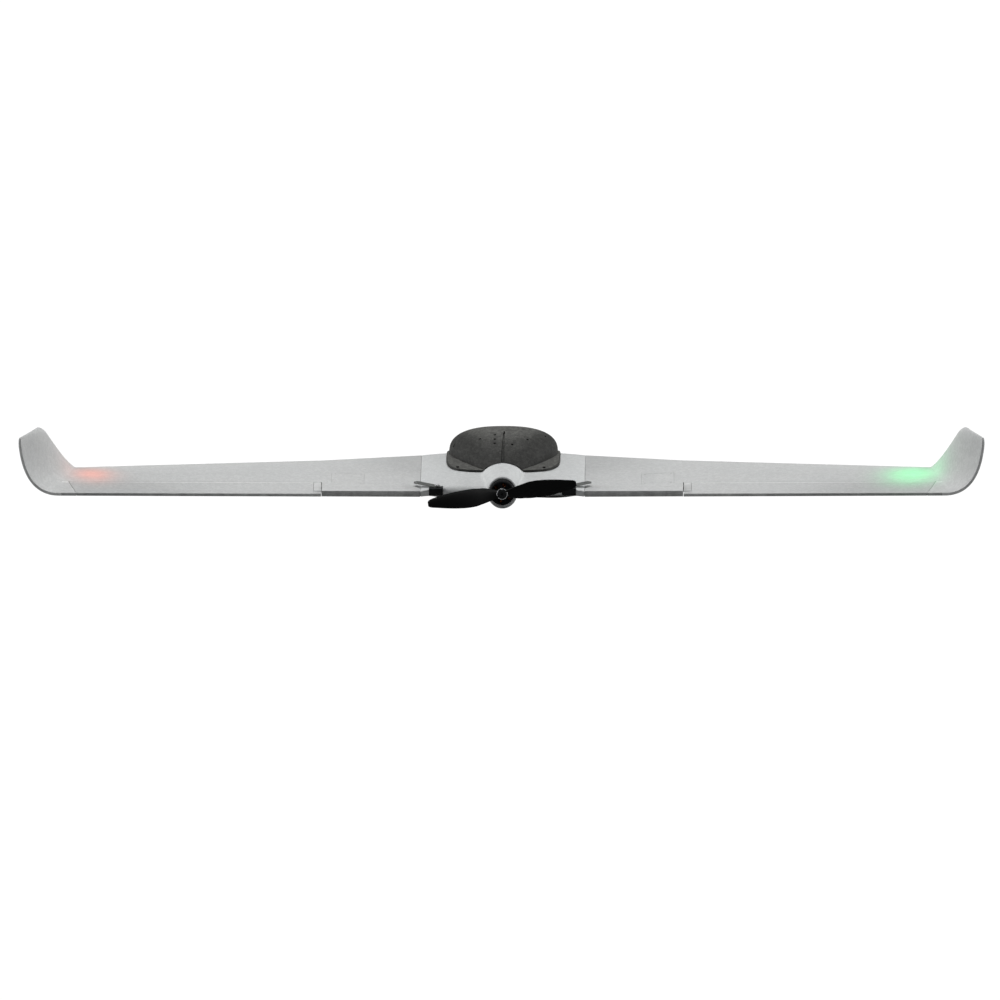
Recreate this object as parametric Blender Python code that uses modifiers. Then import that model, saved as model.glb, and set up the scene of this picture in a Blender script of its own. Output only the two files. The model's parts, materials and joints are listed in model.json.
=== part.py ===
"""A twin-elevon RC flying wing with a pusher motor, built from its separate pieces.

Lengths are in millimetres until add_mesh turns them into metres. X points to starboard, Y to the
nose and Z up. Pieces are laid out from the trailing edge where wing and centre body meet (the
datum), and the datum empty then stands the aeroplane on the middle of its belly skid.
"""
import math

import bpy
from mathutils import Matrix, Vector

MM = 0.001
GAP = 0.3  # between pieces that touch

# ---- overall layout -------------------------------------------------------------------------
SKID_MIDDLE_Y = 148.0
SKID_BOTTOM_Z = -19.0

JOINT_X = 98.0  # seam between body and wing
SEAM = 0.15  # half the width of that seam
ROOT_CHORD = 224.6
LE_SWEEP = 0.3746
TE_SWEEP = 0.2126
DIHEDRAL = 0.041
ROOT_THICKNESS = 0.129
WING_THICKNESS = 0.1
TAIL_THIN = (1.5, 1.5)  # half the blunt trailing edge, above and below the mean line
TAIL_FIXED = (5.0, 1.3)  # the same beside the body, where nothing moves

ELEVON_IN_X = 215.0
ELEVON_OUT_X = 515.0
ELEVON_CHORD = 51.0
ELEVON_GAP = 0.6

# where leading and trailing edge leave the panel's line, where those lines are aimed, and the tip
WINGLET_LE_X = (507.0, 516.0)
WINGLET_TE_X = (526.0, 568.5)
TIP_LE = Vector((548.0, -38.0, 91.5))
TIP_TE = Vector((572.0, -123.0, 90.7))
TIP_THICKNESS = 0.085

JOINER_Y, JOINER_Z, JOINER_R, JOINER_X = 150.0, 5.0, 4.0, 218.0
PIN_Y, PIN_Z, PIN_R = 50.0, 1.0, 2.0
THRUST_Z = 6.0  # height of the propeller's axis over the datum
THRUST_TILT = 5.0  # degrees; the axis rises towards the tail
WIRE_Z = 6.5
NOSE_Y = 288.0

# colour, roughness, metallic
FINISHES = {
    "white_foam": ((0.56, 0.56, 0.56), 0.85, 0.0),
    "dark_foam": ((0.06, 0.06, 0.055), 0.8, 0.0),
    "black_plastic": ((0.008, 0.009, 0.011), 0.4, 0.0),
    "grey_plastic": ((0.09, 0.095, 0.09), 0.5, 0.0),
    "white_nylon": ((0.7, 0.7, 0.68), 0.45, 0.0),
    "carbon": ((0.012, 0.012, 0.013), 0.35, 0.0),
    "steel": ((0.55, 0.55, 0.56), 0.3, 1.0),
    "aluminium": ((0.6, 0.61, 0.62), 0.35, 1.0),
    "black_metal": ((0.03, 0.03, 0.033), 0.35, 1.0),
    "copper": ((0.6, 0.24, 0.1), 0.4, 1.0),
    "birch_ply": ((0.42, 0.27, 0.13), 0.7, 0.0),
    "blue_wrap": ((0.03, 0.06, 0.22), 0.45, 0.0),
    "webbing": ((0.02, 0.02, 0.02), 0.9, 0.0),
    "green_board": ((0.01, 0.09, 0.04), 0.5, 0.0),
    "red_lamp": ((0.8, 0.03, 0.02), 0.3, 0.0),
    "green_lamp": ((0.02, 0.7, 0.12), 0.3, 0.0),
    "wire_jacket": ((0.015, 0.015, 0.015), 0.5, 0.0),
}


# ---- making things --------------------------------------------------------------------------
def clear_scene():
    for thing in list(bpy.data.objects):
        bpy.data.objects.remove(thing)


def collection(name):
    made = bpy.data.collections.new(name)
    bpy.context.scene.collection.children.link(made)
    return made


def material(name, finish):
    colour, roughness, metallic = FINISHES[finish]
    made = bpy.data.materials.new(name)
    made.use_nodes = True
    shader = made.node_tree.nodes["Principled BSDF"]
    shader.inputs["Base Color"].default_value = (*colour, 1.0)
    shader.inputs["Roughness"].default_value = roughness
    shader.inputs["Metallic"].default_value = metallic
    return made


def add_mesh(name, points, faces, finish=None, parent=None):
    """A mesh object; with no finish it is a cutter."""
    mesh = bpy.data.meshes.new(name)
    mesh.from_pydata([tuple(Vector(p) * MM) for p in points], [], faces)
    mesh.update()
    made = bpy.data.objects.new(name, mesh)
    if finish:
        PARTS.objects.link(made)
        mesh.materials.append(material(name, finish))
        mesh.shade_smooth()
        mesh.set_sharp_from_angle(angle=math.radians(35))
    else:
        CUTTERS.objects.link(made)
        made.hide_render = True
        made.display_type = "WIRE"
    made.parent = parent or DATUM
    return made


def loft(name, rings, finish=None, parent=None, ring_closed=False):
    """Skin through rings of equal point count; ends are capped unless the last meets the first."""
    count = len(rings[0])
    points = [p for ring in rings for p in ring]
    faces = []
    joins = len(rings) if ring_closed else len(rings) - 1
    for i in range(joins):
        a, b = i * count, ((i + 1) % len(rings)) * count
        for j in range(count):
            k = (j + 1) % count
            faces.append((a + j, a + k, b + k, b + j))
    if not ring_closed:
        faces.append(tuple(reversed(range(count))))
        faces.append(tuple(range(len(points) - count, len(points))))
    made = add_mesh(name, points, faces, finish, parent)
    face_outwards(made.data)
    return made


def face_outwards(mesh):
    """Turn every face over if the closed mesh is inside out."""
    volume = 0.0
    mesh.calc_loop_triangles()
    for triangle in mesh.loop_triangles:
        a, b, c = (mesh.vertices[i].co for i in triangle.vertices)
        volume += a.dot(b.cross(c))
    if volume < 0:
        mesh.flip_normals()


def circle(centre, radius, axis, segments=24, start=0.0):
    axis = Vector(axis).normalized()
    side = axis.orthogonal().normalized()
    if abs(axis.x) < 0.99:
        side = axis.cross(Vector((1, 0, 0))).normalized()
    other = axis.cross(side)
    ring = []
    for i in range(segments):
        turn = start + 2 * math.pi * i / segments
        ring.append(Vector(centre) + radius * (math.cos(turn) * side + math.sin(turn) * other))
    return ring


def turned(name, centre, axis, profile, finish=None, segments=24, parent=None, hollow=False):
    """A solid of revolution. profile lists (distance along axis, radius); hollow closes it on itself."""
    way = Vector(axis).normalized()
    rings = [circle(Vector(centre) + along * way, radius, way, segments) for along, radius in profile]
    return loft(name, rings, finish, parent, ring_closed=hollow)


def rod(name, start, end, radius, finish=None, segments=16, parent=None):
    way = Vector(end) - Vector(start)
    return turned(name, start, way, [(0, radius), (way.length, radius)], finish, segments, parent)


def pipe(name, path, radius, finish, segments=8, parent=None):
    """A round wire through the points of path."""
    path = [Vector(p) for p in path]
    rings = []
    for i, point in enumerate(path):
        way = path[min(i + 1, len(path) - 1)] - path[max(i - 1, 0)]
        rings.append(circle(point, radius, way, segments))
    return loft(name, rings, finish, parent)


def box(name, low, high, finish=None, parent=None, round_off=0.0):
    x0, y0, z0 = low
    x1, y1, z1 = high
    bottom = [(x0, y0, z0), (x1, y0, z0), (x1, y1, z0), (x0, y1, z0)]
    top = [(x, y, z1) for x, y, _ in bottom]
    made = loft(name, [bottom, top], finish, parent)
    if round_off:
        bevel = made.modifiers.new("edges", "BEVEL")
        bevel.width = round_off * MM
        bevel.segments = 1
    return made


def cut(target, cutter, join=False):
    step = target.modifiers.new(cutter.name, "BOOLEAN")
    step.operation = "UNION" if join else "DIFFERENCE"
    step.solver = "EXACT"
    step.object = cutter


def side_name(side):
    return "right" if side > 0 else "left"


def mirrored(points, side):
    """The same points on the given side of the aeroplane."""
    return [Vector((p[0] * side, p[1], p[2])) for p in points]


def axis_empty(name, point, x_axis=(1, 0, 0)):
    """An empty on a joint's axis, its own X along x_axis."""
    made = bpy.data.objects.new(name, None)
    PARTS.objects.link(made)
    made.parent = DATUM
    turn = Vector((1, 0, 0)).rotation_difference(Vector(x_axis)).to_matrix().to_4x4()
    made.matrix_basis = Matrix.Translation(Vector(point) * MM) @ turn
    return made


def hang(pieces, axis):
    """Give pieces that were laid out from the datum to an empty, where they stand."""
    for piece in pieces:
        piece.data.transform(axis.matrix_basis.inverted())
        piece.parent = axis


# ---- wing shape -----------------------------------------------------------------------------
FRONT_STEPS = (0.0, 0.006, 0.02, 0.045, 0.085, 0.14, 0.22, 0.33, 0.47, 0.64, 0.82, 1.0)  # nose to hinge
REAR_STEPS = (0.3, 0.6, 0.85, 1.0)  # hinge to trailing edge


def half_thickness(x):
    """Half the depth of a section of thickness ratio one, at chord fraction x."""
    return 5 * (0.2969 * math.sqrt(x) - 0.126 * x - 0.3516 * x**2 + 0.2843 * x**3 - 0.1015 * x**4)


def camber(x):
    """Mean line with a slightly reflexed tail."""
    return 0.11 * x * (1 - x) * (0.85 - x)


class Section:
    """One rib of the wing: leading and trailing edge, thickness direction and ratio, hinge, tail."""

    def __init__(self, nose, tail, normal, thickness, hinge, blunt=TAIL_THIN):
        self.nose, self.tail, self.normal = Vector(nose), Vector(tail), Vector(normal).normalized()
        self.chord = (self.tail - self.nose).length
        self.thickness, self.hinge = thickness, hinge
        self.blunt = {1: blunt[0], -1: blunt[1]}

    def point(self, x, side):
        half = half_thickness(x) * self.thickness * self.chord + self.blunt[side] * x**8
        return self.nose.lerp(self.tail, x) + (camber(x) * self.chord + side * half) * self.normal

    def steps(self):
        front = [self.hinge * s for s in FRONT_STEPS]
        rear = [self.hinge + (1 - self.hinge) * s for s in REAR_STEPS]
        return front + rear

    def ring(self):
        """Trailing edge over the top to the nose and back underneath."""
        steps = self.steps()
        top = [self.point(x, 1) for x in reversed(steps)]
        return top + [self.point(x, -1) for x in steps[1:]]

    def hinge_ends(self):
        return self.point(self.hinge, 1), self.point(self.hinge, -1)

    def rear_outline(self, reach=1.0):
        """Nose arc about the hinge axis, then the skins back to the given share of the elevon."""
        top, bottom = self.hinge_ends()
        arc = hinge_arc(top, bottom, self.tail - self.nose, 0.0)
        stops = [self.hinge + (1 - self.hinge) * s * reach for s in REAR_STEPS]
        under = [self.point(x, -1) for x in stops]
        over = [self.point(x, 1) for x in reversed(stops)]
        return arc + under + over

    def arm_outline(self):
        """The front part of the rear outline, as far back as the drive arm goes."""
        return self.rear_outline(0.7)

    def bay_outline(self):
        """The rear outline grown by the running gap and run out past the trailing edge."""
        top, bottom = self.hinge_ends()
        back = (self.tail - self.nose).normalized()
        up = (top - bottom).normalized()
        axis = (top + bottom) / 2
        radius = (top - bottom).length / 2 + ELEVON_GAP
        length = (1 - self.hinge) * self.chord + 8.0
        arc = hinge_arc(top, bottom, self.tail - self.nose, ELEVON_GAP)
        return arc + [axis + back * length - up * (radius + 3), axis + back * length + up * (radius + 3)]


def hinge_arc(top, bottom, back, grow):
    """Half circle on the nose side of the hinge axis, from top to bottom."""
    up = (top - bottom).normalized()
    forward = -Vector(back).normalized()
    axis = (top + bottom) / 2
    radius = (top - bottom).length / 2 + grow
    turns = [math.pi * i / 8 for i in range(9)]
    return [axis + radius * (math.cos(t) * up + math.sin(t) * forward) for t in turns]


def panel_nose(x):
    d = x - JOINT_X
    return Vector((x, ROOT_CHORD - LE_SWEEP * d, DIHEDRAL * d))


def panel_tail(x):
    d = x - JOINT_X
    return Vector((x, -TE_SWEEP * d, DIHEDRAL * d))


def panel_section(x, blunt=TAIL_THIN):
    """A rib along the flight direction, thicker towards the root."""
    nose, tail = panel_nose(x), panel_tail(x)
    hinge = 1 - ELEVON_CHORD / (nose - tail).length
    outward = (x - JOINT_X) / (ELEVON_IN_X - JOINT_X)
    thickness = ROOT_THICKNESS + (WING_THICKNESS - ROOT_THICKNESS) * min(outward, 1)
    return Section(nose, tail, (0, 0, 1), thickness, hinge, blunt)


def winglet_edges():
    """Control points of the leading and the trailing edge, from the panel up to the tip."""
    leading = [panel_nose(x) for x in WINGLET_LE_X] + [TIP_LE]
    trailing = [panel_tail(x) for x in WINGLET_TE_X] + [TIP_TE]
    return leading, trailing


def bezier(points, t):
    a, b, c = points
    return a.lerp(b, t).lerp(b.lerp(c, t), t)


def bezier_way(points, t):
    a, b, c = points
    return (b - a).lerp(c - b, t)


def hinge_share():
    """Hinge position along the oblique rib where the winglet begins."""
    leading, trailing = winglet_edges()
    nose, rib = leading[0], trailing[0] - leading[0]
    at = panel_tail(ELEVON_IN_X) + Vector((0, ELEVON_CHORD, 0))
    way = Vector((1, -TE_SWEEP, 0))
    return ((at.x - nose.x) * way.y - (at.y - nose.y) * way.x) / (rib.x * way.y - rib.y * way.x)


def winglet_section(t, tip_turn=0.0):
    """Oblique ribs, t from 0 on the panel to 1 at the tip, whose edge rounds off with tip_turn."""
    leading, trailing = winglet_edges()
    nose, tail = bezier(leading, t), bezier(trailing, t)
    back = (tail - nose).normalized()
    if t == 0:
        normal = Vector((0, 0, 1))
    else:
        normal = back.cross(bezier_way(leading, t) + bezier_way(trailing, t))
    lost = 1 - math.cos(tip_turn)
    thickness = (WING_THICKNESS + (TIP_THICKNESS - WING_THICKNESS) * t) * (1 - 0.7 * lost)
    blunt = [edge * (1 - 0.5 * lost) for edge in TAIL_THIN]
    return Section(nose + back * 15 * lost, tail - back * 4 * lost, normal, thickness, hinge_share(), blunt)


def wing_sections():
    panel = [panel_section(JOINT_X + SEAM, TAIL_FIXED), panel_section(ELEVON_IN_X - 0.4, TAIL_FIXED)]
    panel.append(panel_section(ELEVON_IN_X + 0.4))
    winglet = [winglet_section(t) for t in (0, 0.07, 0.15, 0.24, 0.34, 0.45, 0.57, 0.7, 0.82)]
    for degrees in (0, 25, 50, 72, 90):
        turn = math.radians(degrees)
        winglet.append(winglet_section(0.91 + 0.09 * math.sin(turn), turn))
    return panel + winglet


def clip(starts, ends, plane_point, plane_normal):
    """Where each line from a start to its end crosses a plane."""
    found = []
    for a, b in zip(starts, ends):
        share = (plane_point - a).dot(plane_normal) / (b - a).dot(plane_normal)
        found.append(a.lerp(b, share))
    return found


def hinge_axis():
    """Two points on the hinge axis of the starboard elevon, at its inner and outer ribs."""
    ends = []
    for section in (panel_section(ELEVON_IN_X), winglet_section(0)):
        top, bottom = section.hinge_ends()
        ends.append((top + bottom) / 2)
    return ends


def on_hinge(x):
    """The point of the hinge axis at this X."""
    a, b = hinge_axis()
    return a.lerp(b, (x - a.x) / (b.x - a.x))


def elevon_rings(outline, inner_x, outer_x, outer_way=None):
    """Outlines of a slice of the elevon: square to the flight at inner_x, to outer_way at outer_x."""
    starts = outline(panel_section(ELEVON_IN_X))
    ends = outline(winglet_section(0))
    axis_in, axis_out = hinge_axis()
    inner = clip(starts, ends, Vector((inner_x, 0, 0)), Vector((1, 0, 0)))
    outer = clip(starts, ends, on_hinge(outer_x), outer_way or (axis_out - axis_in).normalized())
    return [inner, outer]


def skin_height(x, y, side=1):
    """Height of the wing skin above the datum at a point of the inner panel."""
    section = panel_section(x, TAIL_FIXED)
    share = (section.nose.y - y) / section.chord
    return section.point(share, side).z


# ---- centre body shape ----------------------------------------------------------------------
BODY_STEPS = (0, 0.006, 0.02, 0.045, 0.08, 0.13, 0.19, 0.26, 0.34, 0.42, 0.5, 0.6, 0.7, 0.8, 0.9, 1.0)
BODY_RIB_XS = (0.0, 20.0, 38.0, 52.0, 64.0, 74.0, 83.0, 91.0)


def body_top(f):
    """Height of the thick middle's upper skin at chord fraction f."""
    if f < 0.45:
        return 20.5 * (1 - (1 - f / 0.45) ** 2.2)
    return 20.5 - 10.5 * ((f - 0.45) / 0.55) ** 1.6


def body_bottom(f):
    if f < 0.3:
        return -17.0 * (1 - (1 - f / 0.3) ** 2.2)
    if f < 0.7:
        return -17.0
    return -17.0 + 18.6 * ((f - 0.7) / 0.3) ** 1.1


def body_nose(x):
    return ROOT_CHORD + (NOSE_Y - ROOT_CHORD) * (1 - (abs(x) / JOINT_X) ** 1.9)


def body_height(x, f, side):
    """Height of a skin of the centre body, which thins into the wing's section at the joint."""
    chord = body_nose(x)
    wing = Section((0, chord, 0), (0, 0, 0), (0, 0, 1), ROOT_THICKNESS, 0.8, TAIL_FIXED).point(f, side).z
    deep = body_top(f) if side > 0 else body_bottom(f)
    thick = 1 - max(0, (abs(x) - 50) / (JOINT_X - 50)) ** 2.2
    return (1 - thick) * wing + thick * deep


def body_rib(x, at_x):
    """A rib of the shape that the body has at x, standing at at_x."""
    chord = body_nose(x)
    over = [Vector((at_x, chord * (1 - f), body_height(x, f, 1))) for f in reversed(BODY_STEPS)]
    under = [Vector((at_x, chord * (1 - f), body_height(x, f, -1))) for f in BODY_STEPS[1:]]
    return over + under


def body_ribs():
    ribs = [body_rib(JOINT_X, JOINT_X - SEAM)]
    ribs += [body_rib(x, x) for x in reversed(BODY_RIB_XS)]
    return ribs + [mirrored(ring, -1) for ring in reversed(ribs[:-1])]


def body_skin(x, y):
    """Height of the centre body's upper skin."""
    share = min(max(1 - y / body_nose(x), 0), 1)
    return body_height(x, share, 1)


# ---- centre body and what it holds ----------------------------------------------------------
# along the body, height of the middle, half width, half height
NACELLE = (
    (-10.5, 5.3, 17.0, 18.6),
    (-9.9, 5.3, 17.6, 19.2),
    (-8.4, 5.3, 18.0, 19.6),
    (0.0, 5.6, 18.6, 19.7),
    (14.0, 6.6, 20.0, 19.6),
    (30.0, 8.0, 22.6, 19.1),
    (46.0, 9.0, 25.0, 18.4),
    (62.0, 9.5, 26.3, 17.6),
    (76.0, 9.5, 25.6, 16.8),
    (86.0, 9.5, 20.0, 11.5),
    (90.0, 9.5, 12.0, 6.0),
)
BATTERY_BAY = ((-37.0, 162.0, -11.0), (37.0, 246.0, 40.0))
ELECTRONICS_BAY = ((-37.0, 94.0, -11.0), (37.0, 138.0, 40.0))
ROOT_PLATE_DEPTH = 2.2
ROOT_PLATE = ((46.0, -3.6), (166.0, -8.4), (166.0, 13.2), (46.0, 4.8))  # Y and Z of its corners


def build_nacelle(name, grow=0.0):
    """The motor's round nose of the body, as a form to join or to keep clear of."""
    rings = []
    for y, middle, half_width, half_height in NACELLE:
        ring = []
        for i in range(40):
            turn = 2 * math.pi * i / 40
            x = (half_width + grow) * math.cos(turn)
            ring.append(Vector((x, y, middle + (half_height + grow) * math.sin(turn))))
        rings.append(ring)
    return loft(name, rings)


def build_body():
    body = loft("fuselage_body", body_ribs(), "white_foam")
    cut(body, build_nacelle("nacelle_form"), join=True)
    recess = [(4.6, 15.2), (18.0, 15.2)]
    cut(body, turned("motor_recess", (0, 0, 0), (0, -1, 0), recess, segments=32, parent=MOTOR_AXIS))
    cut(body, rod("wire_channel", (0, -6, WIRE_Z), (0, 100, WIRE_Z), 6.0))
    cut(body, box("battery_bay", *BATTERY_BAY))
    cut(body, box("electronics_bay", *ELECTRONICS_BAY))
    cut(body, rod("body_joiner_bore", (-110, JOINER_Y, JOINER_Z), (110, JOINER_Y, JOINER_Z), JOINER_R + GAP))
    for side in (-1, 1):
        name = side_name(side)
        cut(body, side_rod(f"body_pin_bore_{name}", side, 59.6, 110, PIN_R + GAP))
        cut(body, root_slab(f"body_plate_pocket_{name}", side, JOINT_X - SEAM, -1, GAP))
        cut(body, latch_box(f"latch_pocket_{name}", side, GAP))
    return body


def side_rod(name, side, x0, x1, radius, finish=None):
    return rod(name, (side * x0, PIN_Y, PIN_Z), (side * x1, PIN_Y, PIN_Z), radius, finish)


def root_slab(name, side, face_x, way, grow, finish=None):
    """The tapered plate let into a root face at face_x, going way from it, or its pocket when grown."""
    near = face_x + way * (GAP if finish else -2.0)
    far = face_x + way * (ROOT_PLATE_DEPTH + grow)
    middle_y = sum(y for y, _ in ROOT_PLATE) / 4
    rings = []
    for x in (near, far):
        ring = []
        for y, z in ROOT_PLATE:
            ring.append(Vector((side * x, y + math.copysign(grow, y - middle_y), z + math.copysign(grow, z))))
        rings.append(ring)
    return loft(name, rings, finish)


def build_root_plate(side, body_side):
    """Plywood rib plate with holes for the joiner tube and the rear pin."""
    way = -1 if body_side else 1
    face = JOINT_X + way * SEAM
    name = f"{'body' if body_side else 'wing'}_root_plate_{side_name(side)}"
    plate = root_slab(name, side, face, way, 0, "birch_ply")
    ends = (side * (face - 8), side * (face + 8))
    for label, y, z, radius in (("joiner", JOINER_Y, JOINER_Z, JOINER_R), ("pin", PIN_Y, PIN_Z, PIN_R)):
        hole = rod(f"{name}_{label}", (ends[0], y, z), (ends[1], y, z), radius + GAP)
        cut(plate, hole)
    return plate


def build_spars():
    outer = [(-JOINER_X, JOINER_R), (JOINER_X, JOINER_R)]
    inner = [(JOINER_X, JOINER_R - 1), (-JOINER_X, JOINER_R - 1)]
    turned("joiner_tube", (0, JOINER_Y, JOINER_Z), (1, 0, 0), outer + inner, "carbon", 16, hollow=True)
    for side in (-1, 1):
        side_rod(f"locating_pin_{side_name(side)}", side, 60, 124, PIN_R, "carbon")


def build_belly_skid():
    half_width, y0, y1, thickness = 12.0, 82.0, 214.0, 1.4
    low = (-half_width, y0, SKID_BOTTOM_Z)
    high = (half_width, y1, SKID_BOTTOM_Z + thickness)
    box("belly_skid", low, high, "black_plastic", round_off=0.5)


def build_electronics():
    box("esc", (-34, 96, -10.6), (-12, 136, -2.6), "black_plastic", round_off=1)
    box("receiver", (-33, 98, -2.2), (-13, 132, 5.6), "black_plastic", round_off=1)
    box("flight_controller", (-8, 98, -10.6), (26, 136, 0.2), "green_board", round_off=1)
    rib_top = body_skin(0, JOINER_Y) + GAP
    box("gps_module", (-11, 139.5, rib_top), (11, 160.5, rib_top + 7), "white_nylon", round_off=1.2)
    for i, (degrees, end_y, top_z) in enumerate(((0, 112, 6.5), (120, 107, 9.4), (240, 102, 3.4))):
        turn = math.radians(degrees)
        dx, dz = 2.7 * math.cos(turn), 2.7 * math.sin(turn)
        path = [(dx, -2.6, WIRE_Z + dz), (dx, 96, WIRE_Z + dz)]
        path += [(-9.6, end_y - 0.6, top_z), (-10.4, end_y, top_z - 1.2), (-10.4, end_y, -6.0)]
        pipe(f"motor_lead_{i + 1}", path, 1.0, "wire_jacket")


def build_battery():
    low, high = (-18, 166, -9.3), (18, 242, 14.7)
    box("battery", low, high, "blue_wrap", round_off=2)
    inner = [(x, z) for x, z in ((-18.4, -9.7), (18.4, -9.7), (18.4, 15.1), (-18.4, 15.1))]
    rings = []
    for y, grow in ((196, 0), (196, 1), (212, 1), (212, 0)):
        rings.append([Vector((x + math.copysign(grow, x), y, z + math.copysign(grow, z))) for x, z in inner])
    loft("battery_strap", rings, "webbing", ring_closed=True)


# ---- motor and propeller --------------------------------------------------------------------
def build_motor():
    """Outrunner on its mount plate; pieces are laid out from the motor axis, aft along -Y."""
    centre, back = (0, 0, 0), (0, -1, 0)
    mount = [(5.0, 14.9), (8.6, 14.9), (8.6, 5.6), (5.0, 5.6)]
    turned("motor_mount", centre, back, mount, "black_plastic", 32, MOTOR_AXIS, hollow=True)
    ends = [(9.0, 1.62), (9.0, 12.0), (12.0, 12.0), (12.0, 6.0), (15.0, 6.0), (15.0, 12.3)]
    stator = [*reversed(ends), (32.0, 1.62), (32.0, 12.3)]
    turned("motor_stator", centre, back, stator, "copper", 24, MOTOR_AXIS, hollow=True)
    shell = [(13.2, 14.7), (35.4, 14.7), (36.7, 14.1), (37.2, 12.9), (37.2, 1.8), (34.6, 1.8)]
    shell += [(34.6, 13.2), (13.2, 13.2)]
    bell = turned("motor_bell", centre, back, shell, "black_metal", 40, MOTOR_AXIS, hollow=True)
    for i in range(6):
        turn = math.radians(60 * i + 17)
        x, z = 8.4 * math.cos(turn), 8.4 * math.sin(turn)
        cut(bell, rod(f"bell_vent_{i}", (x, -30, z), (x, -42, z), 3.2, segments=12, parent=MOTOR_AXIS))
    rod("motor_shaft", (0, -11, 0), (0, -53.5, 0), 1.5, "steel", 16, MOTOR_AXIS)
    collet = [(37.6, 6.4), (41.0, 6.4), (41.0, 1.8), (37.6, 1.8)]
    turned("prop_adapter", centre, back, collet, "aluminium", 32, MOTOR_AXIS, hollow=True)
    nut = [(49.0, 5.2), (52.0, 5.2), (53.0, 4.4), (53.0, 1.8), (49.0, 1.8)]
    turned("prop_nut", centre, back, nut, "black_plastic", 6, MOTOR_AXIS, hollow=True)


PROP_Y = -45.0
PROP_PITCH = 125.0
PROP_ROOT_PITCH_RADIUS = 26.0  # inboard of this the blade keeps its angle
PROP_TURN = 8.0  # degrees, rest position
# radius, chord, trailing edge's height over the pitch line, thickness
BLADE = (
    (4.0, 10.0, 5.0, 4.4),
    (11.0, 14.5, 6.6, 3.8),
    (20.0, 20.5, 9.4, 2.8),
    (30.0, 23.6, 11.7, 2.4),
    (40.0, 23.4, 11.8, 2.2),
    (50.0, 21.8, 10.9, 2.0),
    (60.0, 19.6, 9.5, 1.8),
    (70.0, 16.4, 7.7, 1.6),
    (79.0, 12.9, 5.9, 1.3),
    (86.0, 9.6, 4.4, 1.1),
    (89.0, 5.6, 2.6, 0.9),
)
# share of the chord from the trailing edge, share of the thickness above the pitch line
BLADE_SHAPE = (
    (0.0, 0.25), (0.15, 0.5), (0.35, 0.82), (0.6, 1.0), (0.8, 0.85), (0.93, 0.5),
    (1.0, 0.1), (0.93, -0.15), (0.8, -0.25), (0.6, -0.28), (0.35, -0.27), (0.15, -0.2), (0.0, -0.1),
)


def blade_ring(radius, chord, trailing, thick):
    """Lens section of a blade that points along +X; it advances along +Y as it turns."""
    pitch = math.atan(PROP_PITCH / (2 * math.pi * max(radius, PROP_ROOT_PITCH_RADIUS)))
    ring = []
    for share, swell in BLADE_SHAPE:
        along = trailing - chord * share
        off = thick * swell
        z = along * math.cos(pitch) - off * math.sin(pitch)
        y = -along * math.sin(pitch) - off * math.cos(pitch)
        ring.append(Vector((radius, y, z)))
    return ring


def build_propeller():
    hub_profile = [(41.4, 6.6), (48.6, 6.6), (48.6, 1.8), (41.4, 1.8)]
    back = (0, -1, 0)
    prop = turned("propeller", (0, 0, 0), back, hub_profile, "black_plastic", 32, MOTOR_AXIS, hollow=True)
    for turn in (0, 180):
        place = Matrix.Translation((0, PROP_Y, 0)) @ Matrix.Rotation(math.radians(turn - PROP_TURN), 4, "Y")
        rings = [[place @ p for p in blade_ring(*station)] for station in BLADE]
        cut(prop, loft(f"blade_form_{turn}", rings, parent=MOTOR_AXIS), join=True)


# ---- latches --------------------------------------------------------------------------------
LATCH_PIVOT = (78.0, 3.4)
LATCH_TIP = (104.0, 32.0)


def latch_box(name, side, grow, finish=None):
    xs = sorted((side * (71 - grow), side * (87.4 + grow)))
    low = (xs[0], -2.6 - 4 * grow, 0.4 - (8 if grow else 0))
    high = (xs[1], 9.0 + grow, 9.2 + (8 if grow else 0))
    return box(name, low, high, finish)


def build_latch(side):
    """Swinging bar on a pivot screw, over the seam between body and wing."""
    name = side_name(side)
    housing = latch_box(f"latch_housing_{name}", side, 0, "black_plastic")
    x, y = side * LATCH_PIVOT[0], LATCH_PIVOT[1]
    cut(housing, rod(f"latch_thread_{name}", (x, y, 3), (x, y, 14), 1.7, segments=12))
    start = Vector((x, y, 0))
    way = (Vector((side * LATCH_TIP[0], LATCH_TIP[1], 0)) - start).normalized()
    across = Vector((-way.y, way.x, 0))
    edge = [(-4.0, 2.2), (-2.0, 4.0), (6.0, 3.6), (34.0, 4.0), (38.6, 3.0)]
    outline = [start + way * along + across * half for along, half in edge]
    outline += [start + way * along - across * half for along, half in reversed(edge)]
    rings = [[p + Vector((0, 0, z)) for p in outline] for z in (9.5, 11.6)]
    lever = loft(f"latch_lever_{name}", rings, "grey_plastic")
    cut(lever, rod(f"latch_eye_{name}", (x, y, 8), (x, y, 14), 1.75, segments=16))
    hang([lever], axis_empty(f"latch_pivot_{name}", (x, y, 10.5)))
    screw = [(0, 1.4), (8.5, 1.4), (8.5, 2.8), (9.6, 2.4)]
    turned(f"latch_screw_{name}", (x, y, 3.4), (0, 0, 1), screw, "steel", 16)


# ---- wings, elevons and what they hold ------------------------------------------------------
SERVO_POCKET = ((165.0, 26.0, 0.3), (204.0, 72.0, 40.0))
SERVO_HALF_HEIGHT = 3.2
SERVO_LIFT = 0.4  # of the servo's middle over its shaft
ARM_OUT_X = 224.6
LAMP_X, LAMP_Y = 488.0, 20.0
LAMP_BASE_Z = 12.0


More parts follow.
